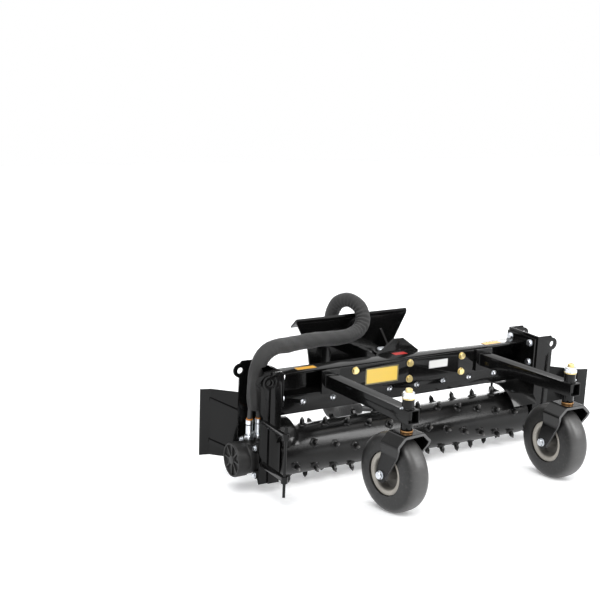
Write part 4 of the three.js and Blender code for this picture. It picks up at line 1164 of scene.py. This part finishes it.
# %% Hose ends
GROOVES, GROOVE_START, GROOVE_PITCH = 6, 99, 4.9
CRIMP, NECK, HOSE_HOLE = 14, 13, 9.8
for number, x in enumerate(PORTS, 1):
    foot, node = (x, 0, 0), f"hose_fitting_{number}"
    crimp = [[0, 90], [9, 90], [9, 94.4], [12.6, 94.6], [CRIMP, 96]]
    for groove in range(GROOVES):
        at = GROOVE_START + groove * GROOVE_PITCH
        crimp += [[CRIMP, at], [13.1, at + 0.5], [13.0, at + 1.9], [CRIMP, at + 2.4]]
    crimp += [[CRIMP, 128.6], [NECK, 130.2], [10.2, FITTING_TOP]]
    nut = hexagon(34, 74.3, 90.6, foot, 2)
    seat = disc(15.6, 74.2, 77.6, foot, 2)
    made(node, [nut, seat, turned(soften(crimp, 0.5, 2), foot, 2, 56)], "zinc")
    collar = disc(14.5, 134, 152, foot, 2, bore=HOSE_HOLE, edge=1.2)
    added(f"hose_collar_{number}", node, [collar], "zinc")
    ring = disc(13, 152.2, 156.5, foot, 2, bore=HOSE_HOLE, edge=1.2)
    added(f"hose_ring_{number}", node, [ring], "zinc", material=orange_ring)
print("hose ends made")

# %% [markdown]
# At the drum's other end a flanged bearing holds the stub shaft, with four small bolts in its flange.

# %% Bearing
FLANGE_IN, FLANGE_OUT, FLANGE_RADIUS, BEARING_END = 640.3, 650.3, 56, 666.3
bearing_profile = soften([[17.3, FLANGE_IN], [FLANGE_RADIUS, FLANGE_IN], [FLANGE_RADIUS, FLANGE_OUT],
                          [40, 651.5], [36, 655], [36, BEARING_END], [25, BEARING_END], [24, 663.5],
                          [17.3, 663.5]], 1.2)
made("drum_bearing", [turned(bearing_profile, axis=0, sides=96)], "frame_black")
BEARING_RING = 46
angles = [math.pi / 4 + i * math.pi / 2 for i in range(4)]
spots = [(FLANGE_OUT, BEARING_RING * math.cos(angle), BEARING_RING * math.sin(angle)) for angle in angles]
bolt_set("bearing_bolts", "drum_bearing", "zinc", BEARING_BOLT, spots, 0, 1, 0.0)
print("bearing made")

# %% [markdown]
# Each caster has a fork bent from one thick strap. A list of points gives its front outline,
# and its width at each height comes from the side outline. Everything is given from the spindle's foot.

# %% Fork strap
ARM_X = 381.0
SPINDLE_Y = -555.0
TRAIL = 50.0
AXLE_Z = 73.0
LEG = 66.0
FORK_TOP, FORK_EYE, FOOT_RUN = 240.0, 28.0, 60
BOSS_FOOT, BOSS_TOP = 247, 362
BOSS_BORE, BOSS_RADIUS, STEM_RADIUS = 14, 22, 13.3
AXLE_RADIUS, AXLE_WASHER, AXLE_HEAD = 8, 16, 26


def caster_frame(side):
    """The caster's own axes at its spindle: along the wheel's axle, back from the spindle, and up."""
    spin = SPINS[side]
    axes = np.stack([spin, np.cross(UP, spin), UP])
    return {"axes": axes, "origin": place((SIDES[side] * ARM_X, SPINDLE_Y, 0))}


def fork_strap(where):
    """A strap follows the fork's front outline; its width at each height comes from the side outline."""
    half = np.array([[LEG, 45.2], [LEG, 60], [LEG, 90], [LEG, 158], [82, 206], [45, FORK_TOP],
                     [20, FORK_TOP]])
    front = soften(np.concatenate([half, half[::-1] * [-1, 1]]), 7, 5)
    keep = np.concatenate([[True], np.linalg.norm(np.diff(front, axis=0), axis=1) > 1e-6])
    front = front[keep]
    far = along_line(front)
    foot = FOOT_RUN * (1 - np.cos(np.linspace(0, math.pi / 2, 22)))
    middle_run = np.linspace(foot[-1] + 2, far[-1] - foot[-1] - 2, 150)
    at = np.concatenate([foot, middle_run, far[-1] - foot[::-1]])
    front = np.stack([np.interp(at, far, front[:, k]) for k in range(2)], axis=1)
    way = unit(np.gradient(front, axis=0))
    inward = np.stack([-way[:, 1], way[:, 0]], axis=1)
    z = front[:, 1]
    low_arc = np.sqrt(np.clip(FORK_EYE**2 - (z - AXLE_Z) ** 2, 0.02, None))
    heights = [AXLE_Z, 188, 200, FORK_TOP]
    fore = np.where(z < AXLE_Z, TRAIL - low_arc, np.interp(z, heights, [22, -42, -45, -45]))
    aft = np.where(z < AXLE_Z, TRAIL + low_arc, np.interp(z, heights, [78, 46.4, 45, 45]))
    edge_share = np.array([0.5, 0.985, 1.0, 1.0, 0.985, 0.5, 0.015, 0.0, 0.0, 0.015])
    depth = np.array([0.0, 0.0, 1.2, 10.8, 12.0, 12.0, 12.0, 10.8, 1.2, 0.0])
    y = fore[:, None] + (aft - fore)[:, None] * edge_share
    spot = front[:, None, :] + inward[:, None, :] * depth[None, :, None]
    grid = np.stack([spot[..., 0], y, spot[..., 1]], axis=-1)
    return swept(place(grid, **where))


print("fork outline ready,", 2 * LEG, "mm wide")

# %% [markdown]
# A caster hangs in a tube welded through its arm. Its fork turns on a plated spindle,
# over a bronze washer, and holds the wheel on a bolt.

# %% Casters
FOOT = (0, 0, 0)
HUB = (0, TRAIL, AXLE_Z)
for side in SIDES:
    where = caster_frame(side)
    boss_profile = soften([[BOSS_BORE, BOSS_FOOT], [BOSS_RADIUS, BOSS_FOOT], [BOSS_RADIUS, BOSS_TOP],
                           [BOSS_BORE, BOSS_TOP], [BOSS_BORE, BOSS_FOOT]], 1.0)
    boss = turned(boss_profile[:-1], FOOT, 2, 72, ring=True, **where)
    made(f"spindle_boss_{side}", [boss], "frame_black")
    washer = disc(23, FORK_TOP + 0.3, BOSS_FOOT - 0.3, FOOT, 2, bore=BOSS_BORE, edge=0.8, sides=72, **where)
    made(f"thrust_washer_{side}", [washer], "bronze")
    stem = soften([[0, 228.2], [STEM_RADIUS, 228.2], [STEM_RADIUS, BOSS_TOP], [13, 362.2], [13, 388]], 0.8)
    dome = soften([[13, 387.6], [13, 396.6], [10.4, 399.4], [6, 400], [0, 400]], 1.6)
    stem_parts = [turned(profile, FOOT, 2, 56, **where) for profile in (stem, dome)]
    made(f"spindle_{side}", stem_parts, "yellow_zinc")
    washer = disc(24, BOSS_TOP + 0.3, 366.2, FOOT, 2, bore=STEM_RADIUS, edge=0.8, sides=72, **where)
    made(f"spindle_washer_{side}", [washer], "yellow_zinc")
    nut = hexagon(44, 366.6, 380.6, FOOT, 2, **where)
    crown = soften([[18, 378], [21.4, 379], [21.4, 384.6], [17, 387.3], [STEM_RADIUS, 387.3]], 1.4)
    made(f"spindle_nut_{side}", [nut, turned(crown, FOOT, 2, 64, **where)], "zinc")
    fork = made(f"caster_fork_{side}", [fork_strap(where)], "frame_black", math.radians(30))
    # The strap's narrow faces, front and back, take the lighter grey.
    fork.data.materials.append(narrow_face_grey)
    facing = np.empty(len(fork.data.polygons) * 3)
    fork.data.polygons.foreach_get("normal", facing)
    is_edge = np.abs(facing.reshape(-1, 3) @ where["axes"][1]) > 0.8
    fork.data.polygons.foreach_set("material_index", is_edge.astype(np.int32))
    bolt_parts = [disc(AXLE_RADIUS, -LEG, LEG, HUB, 0, **where)]
    for way in (-1, 1):
        bolt_parts.append(disc(AXLE_WASHER, way * (LEG + 0.3), way * (LEG + 3.3), HUB, 0, edge=0.7, **where))
        bolt_parts.append(hexagon(AXLE_HEAD, way * (LEG + 3), way * (LEG + 13), HUB, 0, **where))
    made(f"axle_bolt_{side}", bolt_parts, "zinc")
print("forks and spindles made")

# %% [markdown]
# A wheel's rim is a light grey pressing, deeply dished on both faces round a hub, and its tyre is solid
# and smooth with a squarish section: w = half * |sin|^p and r = base + rise * |cos|^p, where a power p
# well under one fills the corners out.

# %% Wheels
CROWN_POWER = 0.6
TYRE_BASE, TYRE_RADIUS, TYRE_HALF = 81.5, 148, 50.0
HALF_RIM = [[8.3, 52], [21, 52], [24, 50.5], [25, 47], [25.5, 10], [29, 5.5], [35, 4], [52, 4],
            [57, 6.5], [59, 12], [59.5, 36], [62, 41], [66, 43], [77.5, 43], [79.4, 42.4],
            [80, 40.6], [79.6, 38.4], [76, 38], [67, 38], [66, 37], [66, 0]]
TYRE_FOOT = np.array([[66.3, -37.7], [80.6, -37.7], [81.2, -43.0]])
for side in SIDES:
    where = caster_frame(side)
    half_rim = soften(HALF_RIM, 1.2, 2)
    whole = np.concatenate([half_rim * [1, -1], half_rim[::-1][1:]])
    made(f"wheel_rim_{side}", [turned(whole, HUB, 0, 112, **where)], "rim_grey", material=rim_grey[side])
    share = np.linspace(-0.5, 0.5, 49) * math.pi
    across = np.sign(np.sin(share)) * np.abs(np.sin(share)) ** CROWN_POWER
    rise = np.abs(np.cos(share)) ** CROWN_POWER
    radius = np.maximum(TYRE_BASE + (TYRE_RADIUS - TYRE_BASE) * rise, TYRE_BASE)
    crown = np.stack([radius, TYRE_HALF * across], axis=1)
    crown = np.concatenate([TYRE_FOOT, crown, TYRE_FOOT[::-1] * [1, -1]])
    made(f"tyre_{side}", [turned(crown, HUB, 0, 144, ring=True, **where)], "tyre", math.radians(50),
         material=tyre_black[side])
print("wheels made")

# %% [markdown]
# The king pin, the couplers on the hoses, and a grease nipple on each caster's boss.

# %% Pins, couplers and nipples
PIN_RADIUS, PIN_HEAD, PIN_SPOT = 16, 24, (0, 158, 0)
pin = soften([[0, 222], [13, 222], [PIN_RADIUS, 225], [PIN_RADIUS, 306.3], [PIN_HEAD, 306.3],
              [PIN_HEAD, 312.6], [22, 314.3], [0, 314.3]], 1.4)
made("king_pin", [turned(pin, PIN_SPOT, 2, 72)], "zinc")

# A coupler's profile from the hose outwards, with a ring of grooves to grip.
COUPLER_FOOT = [[0, 0.3], [12, 0.3], [13.4, 2], [13.4, 12], [19, 14], [19, 30], [22.6, 31.6]]
COUPLER_NOSE = [[22.6, 56], [19.4, 57], [15.4, 58.6], [13, 60], [13, 82], [12.2, 84], [12.2, 90],
                [11, 92], [6.8, 92], [6.2, 78], [0, 78]]
GRIPS, GRIP_START, GRIP_PITCH = 7, 33.4, 3.1
where = {"axes": LEVEL, "origin": DRUM_MIDDLE}
couplers = {}
for number, sign in WAY_OUT.items():
    at = (END_X + GAP + TAIL, END_Y + sign * COUPLER_LANE, COUPLER_Z)
    profile = list(COUPLER_FOOT)
    for k in range(GRIPS):
        x = GRIP_START + k * GRIP_PITCH
        profile += [[COUPLER_RADIUS, x], [22.3, x + 0.7], [22.3, x + 1.7], [COUPLER_RADIUS, x + 2.3]]
    body = turned(soften(profile + COUPLER_NOSE, 0.6, 2), at, 0, 72, **where)
    parts = [body, hexagon(34, 13.6, 29.4, at, 0, **where)]
    couplers[number] = made(f"hose_coupler_{number}", parts, "zinc")


def nipple(base, axis, way):
    """A grease nipple: a small hexagon, a neck and a ball."""
    profile = soften([[0, 5], [2.2, 5], [1.8, 8.2], [2.8, 9.6], [3.2, 11], [2.4, 12.8], [0, 13.3]], 0.3)
    return [hexagon(9, -0.5 * way, 4.6 * way, base, axis), turned(profile * [1, way], base, axis, 24)]


NIPPLE_SPOT, NIPPLE_Z = ARM_X + 21.7, 330
for side, sign in SIDES.items():
    parts = nipple((sign * NIPPLE_SPOT, SPINDLE_Y, NIPPLE_Z), 0, sign)
    added(f"grease_nipple_{side}", f"spindle_boss_{side}", parts, "zinc")
print("pins and couplers made")

for number, hose in hoses.items():
    line = HOSE_LINES[number]
    on_it = [couplers[number]] + ([sleeve] if number == 1 else [])

# %% [markdown]
# Welds hold the frame together. Each is a low ridge with the overlapping scales of its puddles,
# laid where two pieces of one body meet.

# %% Welds
def weld_piece(name, node, lines):
    """Beads along several lines as one piece."""
    parts = [bead(points) for points in lines]
    piece = finish_piece(name, mesh_of(name, *gather(parts)), body_of(node), (), math.radians(70))
    return dress(piece, frame_black)


ARM_RISE = math.tan(math.radians(2.5))
ARM_FOOT, FOOT_FRONT = -45, -47.6
TUBE_HALF, TUBE_LOW, TUBE_HIGH = 25, 254.2, 304.2
# The weld round a spindle boss: its radius, its height at the arm's foot, and the drop to the one below.
BOSS_WELD, WELD_TOP, WELD_DROP = 22.6, 304.4, 50.4
for side, sign in SIDES.items():
    x0 = sign * ARM_X
    left, right = x0 - TUBE_HALF, x0 + TUBE_HALF
    corners = [(left, TUBE_LOW), (right, TUBE_LOW), (right, TUBE_HIGH), (left, TUBE_HIGH), (left, TUBE_LOW)]
    around = [(x, FOOT_FRONT, z) for x, z in corners]
    angle = np.linspace(0, 2 * math.pi, 60)
    x, y = x0 + BOSS_WELD * np.cos(angle), SPINDLE_Y + BOSS_WELD * np.sin(angle)
    top_ring = np.stack([x, y, WELD_TOP - (y - ARM_FOOT) * ARM_RISE], axis=1)
    bottom_ring = top_ring - [0, 0, WELD_DROP]
    weld_piece(f"arm_welds_{side}", f"wheel_arm_{side}", [around, top_ring, bottom_ring])
print("welds laid")

# %% [markdown]
# Blank vinyl patches, where such a machine has its stickers.

# %% Plain patches
def patch(name, node, centre, across, up, size, material, lift=0.5):
    """A thin sheet a few tenths of a millimetre off its plate, with its own map from 0 to 1 each way."""
    across, up = np.array(across, float), np.array(up, float)
    face = np.cross(across, up)
    u, v = np.meshgrid(np.linspace(-0.5, 0.5, 9), np.linspace(-0.5, 0.5, 5))
    corner = (1 - 0.02 * ((np.abs(u) * 2) ** 16 * (np.abs(v) * 2) ** 16))[..., None]
    grid = (np.asarray(centre, float) + face * lift + u[..., None] * corner * size[0] * across
            + v[..., None] * corner * size[1] * up)
    points, faces = sheet(place(grid))
    mesh = bpy.data.meshes.new(name)
    mesh.from_pydata(points.tolist(), [], faces)
    layer = mesh.uv_layers.new(name="map")
    uv = np.stack([u.ravel() + 0.5, v.ravel() + 0.5], axis=1)[corners_of(mesh)]
    layer.data.foreach_set("uv", uv.ravel())
    piece = finish_piece(name, mesh, body_of(node))
    return dress(piece, material)


X_WAY, Y_WAY, Z_WAY = np.eye(3)
BEAM_TOP, STRIP = 326, 34
PATCHES = {
    "face_patch_yellow": ("face_plate", (-134.5, FACE_FRONT, 270), Z_WAY, (161, 70), yellow_vinyl),
    "face_patch_white": ("face_plate", (146, FACE_FRONT, 284), Z_WAY, (97, STRIP), white_vinyl),
    "beam_patch_left": ("cross_beam", (-467, 8, BEAM_TOP), Y_WAY, (92, STRIP), amber_vinyl),
    "beam_patch_right": ("cross_beam", (460, 8, BEAM_TOP), Y_WAY, (92, STRIP), amber_vinyl),
    "beam_patch_red": ("cross_beam", (-5, 30, BEAM_TOP), Y_WAY, (62, STRIP), red_plastic),
}
for name, (node, centre, up, size, material) in PATCHES.items():
    patch(name, node, centre, X_WAY, up, size, material)
print("patches laid")

# %% [markdown]
# The floor and the background are white, and the floor keeps the shadow. The surroundings are pale,
# so that the gloss paint has something to mirror.

# %% Floor and surroundings
FLOOR_SIZE, FLOOR_GLOW, SURROUND_LEVEL = 60.0, 0.22, 0.42


def studio_floor():
    mesh = bpy.data.meshes.new("studio_floor")
    corners = [(FLOOR_SIZE * x, FLOOR_SIZE * y, 0) for x, y in ((-1, -1), (1, -1), (1, 1), (-1, 1))]
    mesh.from_pydata(corners, [], [(0, 1, 2, 3)])
    floor = put("studio_floor", mesh)
    paint = Paint("studio_floor_white", roughness=0.6, emission_color=(1, 1, 1, 1),
                  emission_strength=FLOOR_GLOW)
    cloud = paint.noise(2.0, 2.0)
    mesh.materials.append(paint.finish(base_color=paint.mix(cloud, grey(0.94), grey(0.97))))


def background(tree, color, strength):
    """One even sky: a background node's output."""
    node = tree.nodes.new("ShaderNodeBackground")
    node.inputs["Color"].default_value = color
    node.inputs["Strength"].default_value = strength
    return node.outputs[0]


def surroundings():
    """White where the camera, a mirror or glass looks past the part, and a dimmer sky for its light."""
    world = bpy.data.worlds.new("studio_world")
    world.use_nodes = True
    bpy.context.scene.world = world
    tree = world.node_tree
    tree.nodes.clear()
    rays = tree.nodes.new("ShaderNodeLightPath")
    white = background(tree, (1, 1, 1, 1), 1.0)
    pale = background(tree, (0.93, 0.96, 1.0, 1), SURROUND_LEVEL)
    share = rays.outputs["Is Glossy Ray"]
    for kind in ("Is Transmission Ray", "Is Camera Ray"):
        larger = tree.nodes.new("ShaderNodeMath")
        larger.operation = "MAXIMUM"
        tree.links.new(share, larger.inputs[0])
        tree.links.new(rays.outputs[kind], larger.inputs[1])
        share = larger.outputs[0]
    choose = tree.nodes.new("ShaderNodeMixShader")
    for socket, source in enumerate((share, pale, white)):
        tree.links.new(source, choose.inputs[socket])
    tree.links.new(choose.outputs[0], tree.nodes.new("ShaderNodeOutputWorld").inputs[0])


studio_floor()
surroundings()
print("floor and surroundings set")

# %% [markdown]
# The light is soft: lamps from the front left and right, wide strips above and behind that draw a line
# along the top edges, and one even light over all.

# %% Lamps
def hang(name, data, away, at=(0, 0, 0)):
    """Puts a lamp in its place, with its light going against the direction away."""
    lamp = put(name, data)
    lamp.location = at
    lamp.rotation_euler = away.to_track_quat("Z", "Y").to_euler()


# Each lamp: its place, the point it faces, its width and height in metres, and its power in watts.
LAMPS = {
    "key_front_left": ((-2.6, -3.2, 3.4), (0, 0, 0.2), (2.4, 1.8), 30),
    "sky_strip": ((0.2, 0.4, 3.6), (0, 0, 0.2), (4.0, 2.4), 40),
    "front_right": ((1.9, -2.6, 2.1), (0, 0, 0.2), (0.8, 2.4), 80),
    "back_strip": ((2.6, 4.4, 1.35), (0, 0, 0.3), (4.0, 0.7), 45),
}
for name, (at, target, size, power) in LAMPS.items():
    data = bpy.data.lights.new(name, "AREA")
    data.shape = "RECTANGLE"
    data.size, data.size_y = size
    data.energy = power
    hang(name, data, Vector(at) - Vector(target), at)
DAY_LEVEL, DAY_SPREAD, DAY_WAY = 1.75, math.radians(40), (-0.45, -0.55, 1.0)
day = bpy.data.lights.new("even_light", "SUN")
day.energy = DAY_LEVEL
day.angle = DAY_SPREAD
hang("even_light", day, Vector(DAY_WAY))
scene = bpy.context.scene
scene.view_settings.view_transform = "Standard"
scene.view_settings.look = "None"
print("light set")

# %% Last update
bpy.context.view_layer.update()
